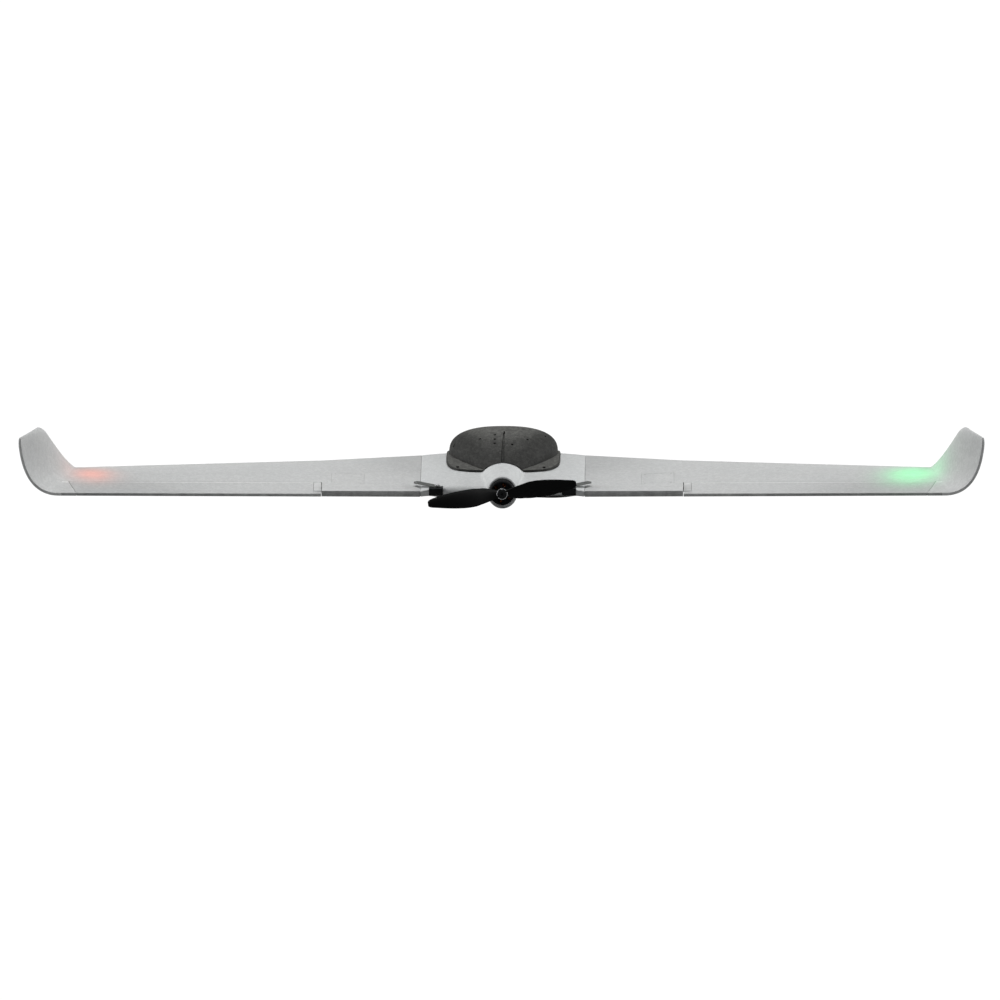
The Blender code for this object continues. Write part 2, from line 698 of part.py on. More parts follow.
def build_wing(side):
    name = side_name(side)
    rings = [mirrored(section.ring(), side) for section in wing_sections()]
    wing = loft(f"wing_{name}", rings, "white_foam")
    bay = elevon_rings(Section.bay_outline, ELEVON_IN_X, ELEVON_OUT_X + ELEVON_GAP)
    cut(wing, loft(f"elevon_bay_{name}", [mirrored(ring, side) for ring in bay]))
    start, end = (side * 90, JOINER_Y, JOINER_Z), (side * (JOINER_X + 2), JOINER_Y, JOINER_Z)
    cut(wing, rod(f"wing_joiner_bore_{name}", start, end, JOINER_R + GAP))
    cut(wing, side_rod(f"wing_pin_bore_{name}", side, 90, 125, PIN_R + GAP))
    cut(wing, root_slab(f"wing_plate_pocket_{name}", side, JOINT_X + SEAM, 1, GAP))
    cut(wing, side_box(f"servo_pocket_{name}", side, *SERVO_POCKET))
    drive = mirrored([on_hinge(198), on_hinge(219), on_hinge(512), on_hinge(524)], side)
    cut(wing, rod(f"servo_shaft_way_{name}", drive[0], drive[1], 3.4, segments=12))
    cut(wing, rod(f"hinge_socket_{name}", drive[2], drive[3], 1.3, segments=12))
    low, high = lamp_corners(GAP)
    cut(wing, side_box(f"lamp_pocket_{name}", side, (low[0], low[1], -5), high))
    return wing


def side_box(name, side, low, high, finish=None, round_off=0.0):
    xs = sorted((side * low[0], side * high[0]))
    return box(name, (xs[0], low[1], low[2]), (xs[1], high[1], high[2]), finish, round_off=round_off)


def lamp_corners(grow):
    low = (LAMP_X - 8 - grow, LAMP_Y - 10 - grow, LAMP_BASE_Z)
    high = (LAMP_X + 8 + grow, LAMP_Y + 10 + grow, LAMP_BASE_Z + 6.0 + grow)
    return low, high


def build_lamp(side):
    """Navigation lamp in a pocket under the wing, closed by a flush plate."""
    name = side_name(side)
    low, high = lamp_corners(0)
    side_box(f"nav_lamp_{name}", side, low, high, "green_lamp" if side > 0 else "red_lamp", round_off=1)
    over = LAMP_BASE_Z - GAP
    under = [LAMP_BASE_Z - 1.6 + DIHEDRAL * dx for dx in (-8, 8)]
    bottom = [(low[0], low[1], under[0]), (high[0], low[1], under[1])]
    bottom += [(x, high[1], z) for x, _, z in reversed(bottom)]
    top = [(x, y, over) for x, y, _ in bottom]
    rings = [mirrored(bottom, side), mirrored(top, side)]
    loft(f"nav_lamp_plate_{name}", rings, "white_nylon")


def build_servo(side):
    """Slim servo whose output shaft lies on the hinge line, and the cover over its pocket."""
    name = side_name(side)
    a, b = hinge_axis()
    along = (b - a).normalized()
    up = Vector((-DIHEDRAL, 0, 1))
    ahead = up.cross(along).normalized()
    up = along.cross(ahead)
    centre = on_hinge(185.5) + up * SERVO_LIFT
    rings = []
    for s in (-14.0, 14.0):
        ring = []
        for forward, height in ((-3, -1), (20, -1), (20, 1), (-3, 1)):
            ring.append(centre + along * s + ahead * forward + up * height * SERVO_HALF_HEIGHT)
        rings.append(mirrored(ring, side))
    loft(f"servo_{name}", rings, "black_plastic")
    (x0, y0, _), (x1, y1, _) = SERVO_POCKET
    xs = (x0 + GAP, x1 - GAP)
    ys = [y0 + GAP + (y1 - y0 - 2 * GAP) * i / 4 for i in range(5)]
    rings = []
    for y in ys:
        ring = []
        for x, drop in ((xs[0], 0.15), (xs[1], 0.15), (xs[1], 0.95), (xs[0], 0.95)):
            ring.append(Vector((x, y, skin_height(x, y) - drop)))
        rings.append(mirrored(ring, side))
    loft(f"servo_cover_{name}", rings, "white_nylon")


def build_elevon(side):
    """Elevon on its hinge rod, with the arm at its inner end that the servo's shaft turns."""
    name = side_name(side)
    stops = [on_hinge(x) for x in (199.8, 219.0, 226.0, 522.0, 540.0)]
    shaft_in, shaft_out, rod_in, rod_out, beyond = mirrored(stops, side)
    rings = elevon_rings(Section.rear_outline, ELEVON_IN_X + ELEVON_GAP, ELEVON_OUT_X)
    elevon = loft(f"elevon_{name}", [mirrored(ring, side) for ring in rings], "white_foam")
    notch_end = ARM_OUT_X + GAP
    cut(elevon, side_box(f"arm_notch_{name}", side, (200, -14, -20), (notch_end, 60, 40)))
    cut(elevon, rod(f"elevon_bore_{name}", shaft_out, beyond, 1.3, segments=12))
    arm_in_x = ELEVON_IN_X + ELEVON_GAP + 0.2
    rings = elevon_rings(Section.arm_outline, arm_in_x, ARM_OUT_X, Vector((1, 0, 0)))
    arm = loft(f"drive_arm_{name}", [mirrored(ring, side) for ring in rings], "white_nylon")
    cut(arm, rod(f"arm_bore_{name}", shaft_in, shaft_out, 2.4, segments=12))
    shaft = rod(f"servo_shaft_{name}", shaft_in, shaft_out.lerp(shaft_in, 0.03), 2.1, "steel", 12)
    hinge_rod = rod(f"hinge_rod_{name}", rod_in, rod_out, 1.0, "carbon", 12)
    axis = axis_empty(f"elevon_hinge_{name}", rod_in, (rod_out - rod_in) * side)
    hang([elevon, arm, shaft, hinge_rod], axis)


# ---- pod cover ------------------------------------------------------------------------------
POD_REAR, POD_PEAK, POD_FRONT = 66.2, 150.0, 272.0  # along the body
POD_PEAK_Z = 55.5
POD_REAR_HEIGHT = 6.0
DOME_WIDEST = 165.0
DOME_REAR_WIDTH, DOME_WIDTH = 22.0, 65.0  # half widths
SKIRT_MIDDLE, SKIRT_END = 160.0, 274.0
SKIRT_WIDTH = 68.0
SKIRT_THICKNESS = 3.0
POD_WALL = 4.0
POD_STATIONS = (
    66.2, 67, 69, 73, 79, 87, 97, 109, 122, 136, 150, 165, 181, 197, 213, 229, 243, 254, 262, 268, 271,
)
DOME_STEPS = 20


def skirt_half_width(y):
    """Squarish behind its middle, tapering in front of it."""
    if y < SKIRT_MIDDLE:
        return SKIRT_WIDTH * (1 - ((SKIRT_MIDDLE - y) / (SKIRT_MIDDLE - POD_REAR + 0.3)) ** 5) ** 0.2
    return SKIRT_WIDTH * (1 - ((y - SKIRT_MIDDLE) / (SKIRT_END - SKIRT_MIDDLE)) ** 3) ** 0.4


def dome_half_width(y):
    if y < DOME_WIDEST:
        share = (y - POD_REAR) / (DOME_WIDEST - POD_REAR)
        return DOME_REAR_WIDTH + (DOME_WIDTH - DOME_REAR_WIDTH) * math.sin(math.pi / 2 * share)
    share = (y - DOME_WIDEST) / (POD_FRONT - DOME_WIDEST)
    return DOME_WIDTH * math.sqrt(1 - share**2.6)


def dome_height(y):
    """Height of the dome's crest over the skirt."""
    rise = POD_PEAK_Z - skirt_top(0, y)
    if y < POD_PEAK:
        share = math.sin(math.pi / 2 * (y - POD_REAR) / (POD_PEAK - POD_REAR))
        return POD_REAR_HEIGHT + (rise - POD_REAR_HEIGHT) * share
    return rise * (1 - ((y - POD_PEAK) / (POD_FRONT - POD_PEAK)) ** 1.75)


def skirt_top(x, y):
    return body_skin(x, y) + SKIRT_THICKNESS


def dome_arch(y, inset=0.0):
    """The dome's skin at y, from starboard over the crest to port."""
    half_width = dome_half_width(y) - inset
    foot = skirt_top(half_width, y)
    height = skirt_top(0, y) + dome_height(y) - foot - inset
    arch = []
    for i in range(DOME_STEPS + 1):
        turn = math.pi * i / DOME_STEPS
        x = math.copysign(abs(math.cos(turn)) ** 0.8, math.cos(turn)) * half_width
        arch.append(Vector((x, y, foot + height * math.sin(turn) ** 0.8)))
    return arch


def pod_ring(y):
    """Skirt edge, skirt, dome, skirt and skirt edge; its underside lies inside the body."""
    edge, foot = skirt_half_width(y), dome_half_width(y)
    skirt = [Vector((edge, y, skirt_top(edge, y) - 6.0)), Vector((edge, y, skirt_top(edge, y) - 1.2))]
    for share in (0.0, 0.33, 0.66):
        x = (edge - 0.8) + (foot - edge + 0.8) * share
        skirt.append(Vector((x, y, skirt_top(x, y))))
    return skirt + dome_arch(y) + [mirrored([p], -1)[0] for p in reversed(skirt)]


def hollow_ring(y):
    arch = dome_arch(y, POD_WALL)
    low = [Vector((arch[-1].x, y, -30.0)), Vector((arch[0].x, y, -30.0))]
    return arch + low


def build_pod():
    pod = loft("pod_cover", [pod_ring(y) for y in POD_STATIONS], "dark_foam")
    inner = [y for y in POD_STATIONS if POD_REAR + 12 < y < POD_FRONT - 10]
    cut(pod, loft("pod_hollow", [hollow_ring(y) for y in inner]))
    cut(pod, build_nacelle("nacelle_clearance", 0.8))
    lift = Vector((0, 0, 0.5))
    cut(pod, loft("body_clearance", [[p + lift for p in rib] for rib in body_ribs()]))


# ---- the aeroplane --------------------------------------------------------------------------
clear_scene()
PARTS = collection("flying_wing")
CUTTERS = collection("cutters")
DATUM = bpy.data.objects.new("datum", None)
DATUM.location = Vector((0, -SKID_MIDDLE_Y, -SKID_BOTTOM_Z)) * MM
PARTS.objects.link(DATUM)
MOTOR_AXIS = axis_empty("motor_axis", (0, 0, THRUST_Z))
MOTOR_AXIS.rotation_euler.x = math.radians(-THRUST_TILT)

build_body()
build_belly_skid()
build_spars()
build_electronics()
build_battery()
build_motor()
build_propeller()
build_pod()
for each_side in (-1, 1):
    build_root_plate(each_side, True)
    build_root_plate(each_side, False)
    build_latch(each_side)
    build_wing(each_side)
    build_lamp(each_side)
    build_servo(each_side)
    build_elevon(each_side)
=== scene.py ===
"""Looks of the RC flying wing: camera, light, floor, materials and fine surfaces round its CAD model.

Shapes are laid out in millimetres from the datum, the trailing edge where wing and centre body
meet: X points to starboard, Y to the nose and Z up.
"""
import json
import math

import bpy
from mathutils import Matrix, Vector

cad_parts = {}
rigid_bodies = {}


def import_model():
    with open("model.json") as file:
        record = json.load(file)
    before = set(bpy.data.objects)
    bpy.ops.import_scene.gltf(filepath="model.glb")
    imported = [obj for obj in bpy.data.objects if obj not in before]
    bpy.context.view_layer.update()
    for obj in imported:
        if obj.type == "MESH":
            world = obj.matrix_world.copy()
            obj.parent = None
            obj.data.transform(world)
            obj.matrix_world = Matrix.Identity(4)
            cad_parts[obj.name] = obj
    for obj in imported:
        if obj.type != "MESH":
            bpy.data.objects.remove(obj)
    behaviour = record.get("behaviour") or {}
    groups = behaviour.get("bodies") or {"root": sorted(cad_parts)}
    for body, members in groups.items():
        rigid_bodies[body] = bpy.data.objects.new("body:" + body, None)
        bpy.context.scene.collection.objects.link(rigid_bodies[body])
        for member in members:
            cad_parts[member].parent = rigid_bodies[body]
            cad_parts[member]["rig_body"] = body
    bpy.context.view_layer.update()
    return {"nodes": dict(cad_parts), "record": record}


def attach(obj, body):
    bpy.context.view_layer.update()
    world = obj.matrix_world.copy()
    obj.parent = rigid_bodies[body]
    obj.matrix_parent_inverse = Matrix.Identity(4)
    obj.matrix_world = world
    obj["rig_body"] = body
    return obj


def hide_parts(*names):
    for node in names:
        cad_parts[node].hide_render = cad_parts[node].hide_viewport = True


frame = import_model()

MM = 0.001
DATUM = Vector((0, -0.148, 0.019))
GAP = 0.3
SIDES = (-1, 1)
SLOTS = {part["node"]: part["material_slot"] for part in frame["record"]["subparts"]}


# ---- camera, floor and light ----------------------------------------------------------------
AZIMUTH, ELEVATION = math.radians(0.5), math.radians(10.0)
ROLL = math.radians(0.093)
DISTANCE = 40.0  # so far away that lines hardly converge
FRAME_WIDTH = 1.19  # metres across the picture at the target
TARGET = DATUM + Vector((-2.9, 0, -5.4)) * MM


def add_object(name, data):
    made = bpy.data.objects.new(name, data)
    bpy.context.scene.collection.objects.link(made)
    return made


def build_camera():
    data = bpy.data.cameras.new("camera")
    data.sensor_width = 36.0
    data.lens = data.sensor_width * DISTANCE / FRAME_WIDTH
    data.clip_end = 400.0
    camera = add_object("camera", data)
    level = math.cos(ELEVATION)
    away = Vector((math.sin(AZIMUTH) * level, -math.cos(AZIMUTH) * level, math.sin(ELEVATION)))
    camera.location = TARGET + away * DISTANCE
    aim = (-away).to_track_quat("-Z", "Y").to_matrix()
    camera.rotation_euler = (aim @ Matrix.Rotation(-ROLL, 3, "Z")).to_euler()
    bpy.context.scene.camera = camera


def area_light(name, location, size, power):
    data = bpy.data.lights.new(name, "AREA")
    data.shape = "RECTANGLE"
    data.size, data.size_y = size
    data.energy = power
    light = add_object(name, data)
    light.location = location
    light.rotation_euler = (-Vector(location)).to_track_quat("-Z", "Y").to_euler()


FLOOR_HALF, FLOOR_Z = 60.0, -0.0006


def floor_paint():
    """Seen directly the floor is blown out to white; the object is lit by the plain grey floor."""
    paint = bpy.data.materials.new("floor_white")
    paint.use_nodes = True
    tree = paint.node_tree
    shader = tree.nodes["Principled BSDF"]
    shader.inputs["Base Color"].default_value = (0.3, 0.3, 0.3, 1)
    shader.inputs["Roughness"].default_value = 0.95
    white = node(tree, "Emission", {"Color": (1, 1, 1, 1), "Strength": 1.05})
    seen = node(tree, "LightPath").outputs["Is Camera Ray"]
    both = node(tree, "MixShader", {"Fac": seen, 1: shader.outputs[0], 2: white.outputs[0]})
    tree.links.new(both.outputs[0], tree.nodes["Material Output"].inputs["Surface"])
    return paint


def build_floor():
    mesh = bpy.data.meshes.new("floor")
    corners = [(FLOOR_HALF * x, FLOOR_HALF * y, FLOOR_Z) for x, y in ((-1, -1), (1, -1), (1, 1), (-1, 1))]
    mesh.from_pydata(corners, [], [(0, 1, 2, 3)])
    mesh.materials.append(floor_paint())
    add_object("floor", mesh)


def build_lights():
    world = bpy.data.worlds.new("studio")
    world.use_nodes = True
    sky = world.node_tree.nodes["Background"]
    sky.inputs["Color"].default_value = (0.97, 0.985, 1, 1)
    sky.inputs["Strength"].default_value = 0.2
    bpy.context.scene.world = world
    area_light("overhead", (0, 0.05, 2.6), (2.4, 1.4), 45)
    area_light("side_left", (-2.6, 0.2, 0.6), (1.4, 0.8), 36)
    area_light("side_right", (2.6, 0.2, 0.6), (1.4, 0.8), 36)
    bpy.context.scene.view_settings.view_transform = "Standard"


# ---- material nodes -------------------------------------------------------------------------
def node(tree, kind, inputs=None, **settings):
    """A shader node with its settings made and its inputs set to values or linked to sockets."""
    made = tree.nodes.new("ShaderNode" + kind)
    for name, value in settings.items():
        setattr(made, name, value)
    for name, value in (inputs or {}).items():
        if isinstance(value, bpy.types.NodeSocket):
            tree.links.new(value, made.inputs[name])
        else:
            made.inputs[name].default_value = value
    return made


def opaque(colour):
    """A colour with its alpha; sockets and numbers stay as they are."""
    return (*colour, 1) if isinstance(colour, tuple) else colour


class Finish:
    """A material being built on one Principled shader, in the piece's own coordinates (metres)."""

    def __init__(self, name, metallic=0.0, specular=0.5):
        self.material = bpy.data.materials.new(name)
        self.material.use_nodes = True
        self.tree = self.material.node_tree
        self.shader = self.tree.nodes["Principled BSDF"]
        self.shader.inputs["Metallic"].default_value = metallic
        self.shader.inputs["Specular IOR Level"].default_value = specular
        self.place = self.node("TexCoord").outputs["Object"]
        self.normal = None

    def node(self, kind, inputs=None, **settings):
        return node(self.tree, kind, inputs, **settings)

    def stretched(self, scale):
        """Coordinates stretched by a scale for each axis."""
        return self.node("Mapping", {"Vector": self.place, "Scale": scale}).outputs[0]

    def noise(self, size, detail=3.0, roughness=0.5, place=None):
        """Noise whose blotches are about this size in metres."""
        inputs = {"Vector": place or self.place, "Scale": 1 / size}
        inputs |= {"Detail": detail, "Roughness": roughness}
        return self.node("TexNoise", inputs).outputs["Fac"]

    def cells(self, size, feature="F1", output="Distance", place=None):
        inputs = {"Vector": place or self.place, "Scale": 1 / size}
        return self.node("TexVoronoi", inputs, feature=feature).outputs[output]

    def bands(self, size, axis, place=None, distortion=0.0):
        inputs = {"Vector": place or self.place, "Scale": 0.314 / size, "Distortion": distortion}
        return self.node("TexWave", inputs, bands_direction=axis).outputs["Fac"]

    def math(self, operation, a, b=0.0):
        return self.node("Math", {0: a, 1: b}, operation=operation).outputs[0]

    def times(self, a, b):
        return self.math("MULTIPLY", a, b)

    def vector(self, operation, a, b=(0, 0, 0), output="Vector"):
        """Vector arithmetic; lengths and products come out as the output Value."""
        return self.node("VectorMath", {0: a, 1: b}, operation=operation).outputs[output]

    def ramp(self, factor, stops):
        """Colours or greys along a factor; stops lists (position, value)."""
        made = self.node("ValToRGB", {"Fac": factor})
        elements = made.color_ramp.elements
        while len(elements) < len(stops):
            elements.new(0.5)
        for element, (position, value) in zip(elements, stops):
            element.position = position
            element.color = opaque(value if isinstance(value, tuple) else (value, value, value))
        return made.outputs[0]

    def mix(self, factor, a, b, how="MIX"):
        """Colour a turned to colour b by the factor."""
        inputs = {0: factor, 6: opaque(a), 7: opaque(b)}
        return self.node("Mix", inputs, data_type="RGBA", blend_type=how).outputs[2]

    def multiplied(self, a, b):
        return self.mix(1.0, a, b, "MULTIPLY")

    def bump(self, height, depth, strength=1.0):
        """Relief of this depth in metres; calls add up."""
        inputs = {"Height": height, "Distance": depth, "Strength": strength}
        if self.normal:
            inputs["Normal"] = self.normal
        self.normal = self.node("Bump", inputs).outputs[0]
        self.tree.links.new(self.normal, self.shader.inputs["Normal"])

    def colour(self, socket):
        self.tree.links.new(socket, self.shader.inputs["Base Color"])

    def rough(self, factor, low, high):
        """Roughness between low and high along the factor."""
        spread = self.ramp(factor, ((0.25, low), (0.75, high)))
        self.tree.links.new(spread, self.shader.inputs["Roughness"])

    def light(self, socket, strength):
        self.tree.links.new(socket, self.shader.inputs["Emission Color"])
        self.shader.inputs["Emission Strength"].default_value = strength


def scaled(colour, by):
    return tuple(channel * by for channel in colour)


# ---- materials ------------------------------------------------------------------------------
BEAD = 0.0034  # across one foam bead
HINGE_BAND, TAIL_SHADE_DEPTH = 2.4 * MM, 1.2 * MM  # reach of the painted highlight along the hinge line and of the painted shade on the trailing edge
# which way the foam faces (0 X, 1 Y, 2 Z) and the painted shade along that: forward-facing leading
# edges painted darker, and the pod painted darker the less its faces point up
FRONT_PAINTED_SHADE = (1, ((0.04, 1.0), (0.3, 0.82)))
POD_PAINTED_SHADE = (2, ((0.84, 0.3), (0.92, 0.5), (0.965, 0.85), (0.99, 1.0)))


def foam(name, colour, contrast, relief, roughness=(0.72, 0.92), facing_shade=FRONT_PAINTED_SHADE, side=0, glow=None):
    """Moulded bead foam: beads pressed flat against the mould, small voids between them, stains, and
    painted shade by which way the surface faces.
    """
    finish = Finish(name, specular=0.3)
    warp = finish.ramp(finish.noise(0.012, 2), ((0, 0), (1, 0.002)))
    shift = finish.vector("ADD", finish.place, warp)
    edges = finish.cells(BEAD, "DISTANCE_TO_EDGE", place=shift)
    tint = finish.cells(BEAD, "F1", "Color", place=shift)
    clouds = finish.noise(0.06, 4)
    grain = finish.noise(0.0011, 2)
    dark, bright = scaled(colour, 1 - contrast), scaled(colour, 1 + contrast)
    beads = finish.ramp(tint, ((0.2, dark), (0.8, bright)))
    dusty = tuple(c * s for c, s in zip(dark, (0.97, 0.99, 1.0)))
    stained = finish.mix(finish.ramp(clouds, ((0.35, 0.0), (0.75, 0.35))), beads, dusty)
    seams = finish.ramp(edges, ((0, 1 - 1.6 * contrast), (0.09, 1.0)))
    voids = finish.ramp(finish.cells(0.009), ((0.035, 1 - 2.5 * contrast), (0.07, 1.0)))
    shown = finish.multiplied(finish.multiplied(stained, seams), voids)
    # painted shade: colour darkened by which way the surface faces
    shown = finish.multiplied(shown, add_painted_facing_shade(finish, *facing_shade))
    if side:
        shown = add_edges(finish, shown, side)
        shown = add_glow(finish, shown, *glow)
    finish.colour(shown)
    finish.rough(clouds, *roughness)
    finish.bump(finish.ramp(edges, ((0, 0), (0.14, 1))), relief, 0.5)
    finish.bump(grain, relief * 0.5, 0.35)
    return finish.material


def add_painted_facing_shade(finish, axis, stops):
    """Painted shade: the foam's colour darkened by which way it faces."""
    facing = finish.node("SeparateXYZ", {0: finish.node("TexCoord").outputs["Normal"]}).outputs[axis]
    return finish.ramp(facing, stops)


def add_edges(finish, shown, side):
    """Painted highlight in a paler band along the hinge line, and painted shade on the blunt inboard
    trailing edge.
    """
    hinge_y = ELEVON_CHORD - TE_SWEEP * (ELEVON_IN_X - JOINT_X)
    hinge = DATUM + Vector((side * ELEVON_IN_X, hinge_y, 0)) * MM
    tail = DATUM + Vector((side * JOINT_X, 0, 0)) * MM
    back = Vector((side * TE_SWEEP, 1, 0)).normalized()
    outward = finish.times(finish.node("SeparateXYZ", {0: finish.place}).outputs[0], float(side))
    on_elevon = finish.math("GREATER_THAN", outward, ELEVON_IN_X * MM)
    on_panel = finish.math("LESS_THAN", outward, (ELEVON_OUT_X + 8) * MM)
    away = finish.vector("DOT_PRODUCT", finish.place, back, "Value")
    from_hinge = finish.math("ABSOLUTE", finish.math("SUBTRACT", away, hinge.dot(back)))
    # painted highlight: the foam's colour lightened in a band along the hinge line
    near_hinge = finish.ramp(finish.times(from_hinge, 1 / HINGE_BAND), ((0.45, 1.0), (1.0, 0.0)))
    pale = finish.times(finish.times(on_elevon, on_panel), near_hinge)
    shown = finish.mix(pale, shown, finish.multiplied(shown, (1.3, 1.3, 1.3)))
    # painted shade: the foam darkened in patches just ahead of the blunt trailing edge
    from_tail = finish.math("SUBTRACT", away, tail.dot(back))
    at_tail = finish.ramp(finish.times(from_tail, 1 / TAIL_SHADE_DEPTH), ((0.35, 1.0), (0.9, 0.0)))
    blotches = finish.ramp(finish.noise(0.012, 4), ((0.3, 0.55), (0.7, 1.0)))
    painted_tail_shade = finish.times(finish.times(at_tail, blotches), on_panel)
    return finish.mix(painted_tail_shade, shown, finish.multiplied(shown, (0.5, 0.5, 0.5)))


def add_glow(finish, shown, centre, light, tint, reach):
    """Light of a lamp buried under the skin: the foam is lit up and tinted round the centre."""
    offset = finish.vector("SUBTRACT", finish.place, centre)
    squash = finish.vector("MULTIPLY", offset, (1.0, 0.75, 0.75))
    near = finish.math("DIVIDE", finish.vector("LENGTH", squash, output="Value"), reach)
    fall = finish.math("EXPONENT", finish.times(finish.times(near, near), -1.0))
    patchy = finish.times(fall, finish.ramp(finish.noise(0.02, 3), ((0.2, 0.8), (0.8, 1.0))))
    finish.light(finish.ramp(patchy, ((0, (0, 0, 0)), (1, light))), 1.0)
    return finish.mix(patchy, shown, finish.multiplied(shown, tint))


def plastic(name, colour, roughness, grain=0.0007, relief=0.00004, specular=0.5):
    """Moulded plastic: spark-eroded texture, faint flow marks and handling scuffs."""
    finish = Finish(name, specular=specular)
    flow = finish.noise(0.02, 4)
    scuffs = finish.noise(0.003, 6, 0.7, finish.stretched((3, 0.4, 1)))
    shown = finish.ramp(flow, ((0.3, scaled(colour, 0.85)), (0.7, scaled(colour, 1.15))))
    worn = finish.ramp(scuffs, ((0.62, 0.0), (0.75, 0.25)))
    finish.colour(finish.mix(worn, shown, scaled(colour, 1.6)))
    finish.rough(scuffs, roughness, min(roughness + 0.2, 1))
    finish.bump(finish.noise(grain, 2), relief, 0.6)
    return finish.material


def metal(name, colour, roughness, pitch=0.00025, metallic=1.0, specular=0.5):
    """Turned metal: tool rings along the turning axis, with patches of handling marks."""
    finish = Finish(name, metallic, specular)
    rings = finish.bands(pitch, "Y", distortion=0.4)
    marks = finish.noise(0.004, 5, 0.65)
    shown = finish.ramp(marks, ((0.3, scaled(colour, 0.8)), (0.7, colour)))
    finish.colour(shown)
    finish.rough(finish.mix(0.5, rings, marks), roughness, roughness + 0.18)
    finish.bump(rings, 0.00001, 0.5)
    return finish.material


def carbon():
    """Pultruded carbon: fibres along X under a thin resin skin."""
    finish = Finish("carbon_fibre", specular=0.6)
    fibres = finish.noise(0.0006, 4, 0.6, finish.stretched((0.03, 1, 1)))
    finish.colour(finish.ramp(fibres, ((0.35, (0.006, 0.006, 0.007)), (0.7, (0.03, 0.03, 0.033)))))
    finish.rough(fibres, 0.28, 0.45)
    finish.bump(fibres, 0.00003, 0.6)
    return finish.material


def plywood():
    """Birch face veneer with long grain and darker pores."""
    finish = Finish("birch_plywood", specular=0.3)
    along = finish.stretched((1, 0.12, 1))
    rings = finish.bands(0.0035, "Z", along, 6.0)
    pores = finish.noise(0.0006, 5, 0.7, finish.stretched((1, 0.06, 1)))
    wood = finish.ramp(rings, ((0.1, (0.36, 0.21, 0.1)), (0.9, (0.52, 0.35, 0.19))))
    finish.colour(finish.mix(finish.ramp(pores, ((0.55, 0.0), (0.7, 0.5))), wood, (0.2, 0.11, 0.05)))
    finish.rough(pores, 0.6, 0.85)
    finish.bump(pores, 0.00008, 0.6)
    return finish.material


def windings():
    """Enamelled copper wire laid turn by turn."""
    finish = Finish("copper_windings", metallic=1.0)
    turns = finish.bands(0.0006, "Y", distortion=0.8)
    finish.colour(finish.ramp(turns, ((0.1, (0.05, 0.015, 0.006)), (0.7, (0.32, 0.1, 0.04)))))
    finish.rough(turns, 0.3, 0.5)
    finish.bump(turns, 0.0002, 0.8)
    return finish.material


def shrink_wrap():
    """Glossy heat-shrunk film with small wrinkles over soft pouch cells."""
    finish = Finish("battery_shrink_wrap")
    wrinkles = finish.noise(0.006, 5, 0.6, finish.stretched((1, 0.3, 1)))
    finish.colour(finish.ramp(wrinkles, ((0.3, (0.02, 0.045, 0.18)), (0.7, (0.035, 0.075, 0.27)))))
    finish.rough(wrinkles, 0.22, 0.42)
    finish.bump(wrinkles, 0.0005, 0.6)
    return finish.material


def woven_strap():
    """Flat woven nylon: ribs across, fine yarns along."""
    finish = Finish("woven_strap", specular=0.2)
    ribs = finish.bands(0.0012, "Y")
    yarns = finish.bands(0.0007, "X")
    weave = finish.math("MULTIPLY", ribs, yarns)
    finish.colour(finish.ramp(weave, ((0.1, (0.01, 0.01, 0.01)), (0.8, (0.045, 0.045, 0.047)))))
    finish.rough(weave, 0.8, 0.95)
    finish.bump(weave, 0.0003, 0.9)
    return finish.material


def circuit_board():
    """Green lacquered board: darker blocks of parts and pale solder pads."""
    finish = Finish("circuit_board")
    blocks = finish.cells(0.006, "F1", "Color")
    pads = finish.cells(0.002)
    board = finish.ramp(blocks, ((0.45, (0.008, 0.08, 0.035)), (0.55, (0.012, 0.02, 0.018))))
    finish.colour(finish.mix(finish.ramp(pads, ((0.08, 0.8), (0.12, 0.0))), board, (0.5, 0.5, 0.45)))
    finish.rough(blocks, 0.3, 0.6)
    finish.bump(blocks, 0.0005, 0.7)
    return finish.material


def lamp(name, colour, strength):
    """A lit clear moulding with fine prism ribs."""
    finish = Finish(name)
    ribs = finish.bands(0.0015, "X")
    finish.colour(finish.ramp(ribs, ((0.2, scaled(colour, 0.6)), (0.8, colour))))
    finish.light(finish.ramp(ribs, ((0.2, scaled(colour, 0.7)), (0.8, colour))), strength)
    finish.rough(ribs, 0.15, 0.3)
    finish.bump(ribs, 0.0003, 0.6)
    return finish.material


LAMP_X, LAMP_Y = 488.0, 20.0
GLOW_Y, GLOW_Z = 4.0, 22.0
# light given off over the lamp, tint of the foam round it, how far it reaches
RED_GLOW = ((0.42, 0.06, 0.03), (0.97, 0.86, 0.8), 0.024)
GREEN_GLOW = ((0.04, 0.62, 0.17), (0.85, 1.0, 0.9), 0.032)
WHITE = (0.6, 0.605, 0.6)
BODY_WHITE = (0.605, 0.615, 0.612)
FOAM_RELIEF = 0.00014


def wing_foams():
    """Foam of each panel and elevon, with the glow of the lamp on that side."""
    made = {}
    for side, glow in ((-1, RED_GLOW), (1, GREEN_GLOW)):
        centre = DATUM + Vector((side * LAMP_X, GLOW_Y, GLOW_Z)) * MM
        for key, name in (("white", "wing"), ("elevon", "elevon")):
            name = f"{name}_foam_{side_name(side)}"
            look = foam(name, WHITE, 0.055, FOAM_RELIEF, side=side, glow=(centre, *glow))
            made[f"{key}_foam_{side_name(side)}"] = look
    return made


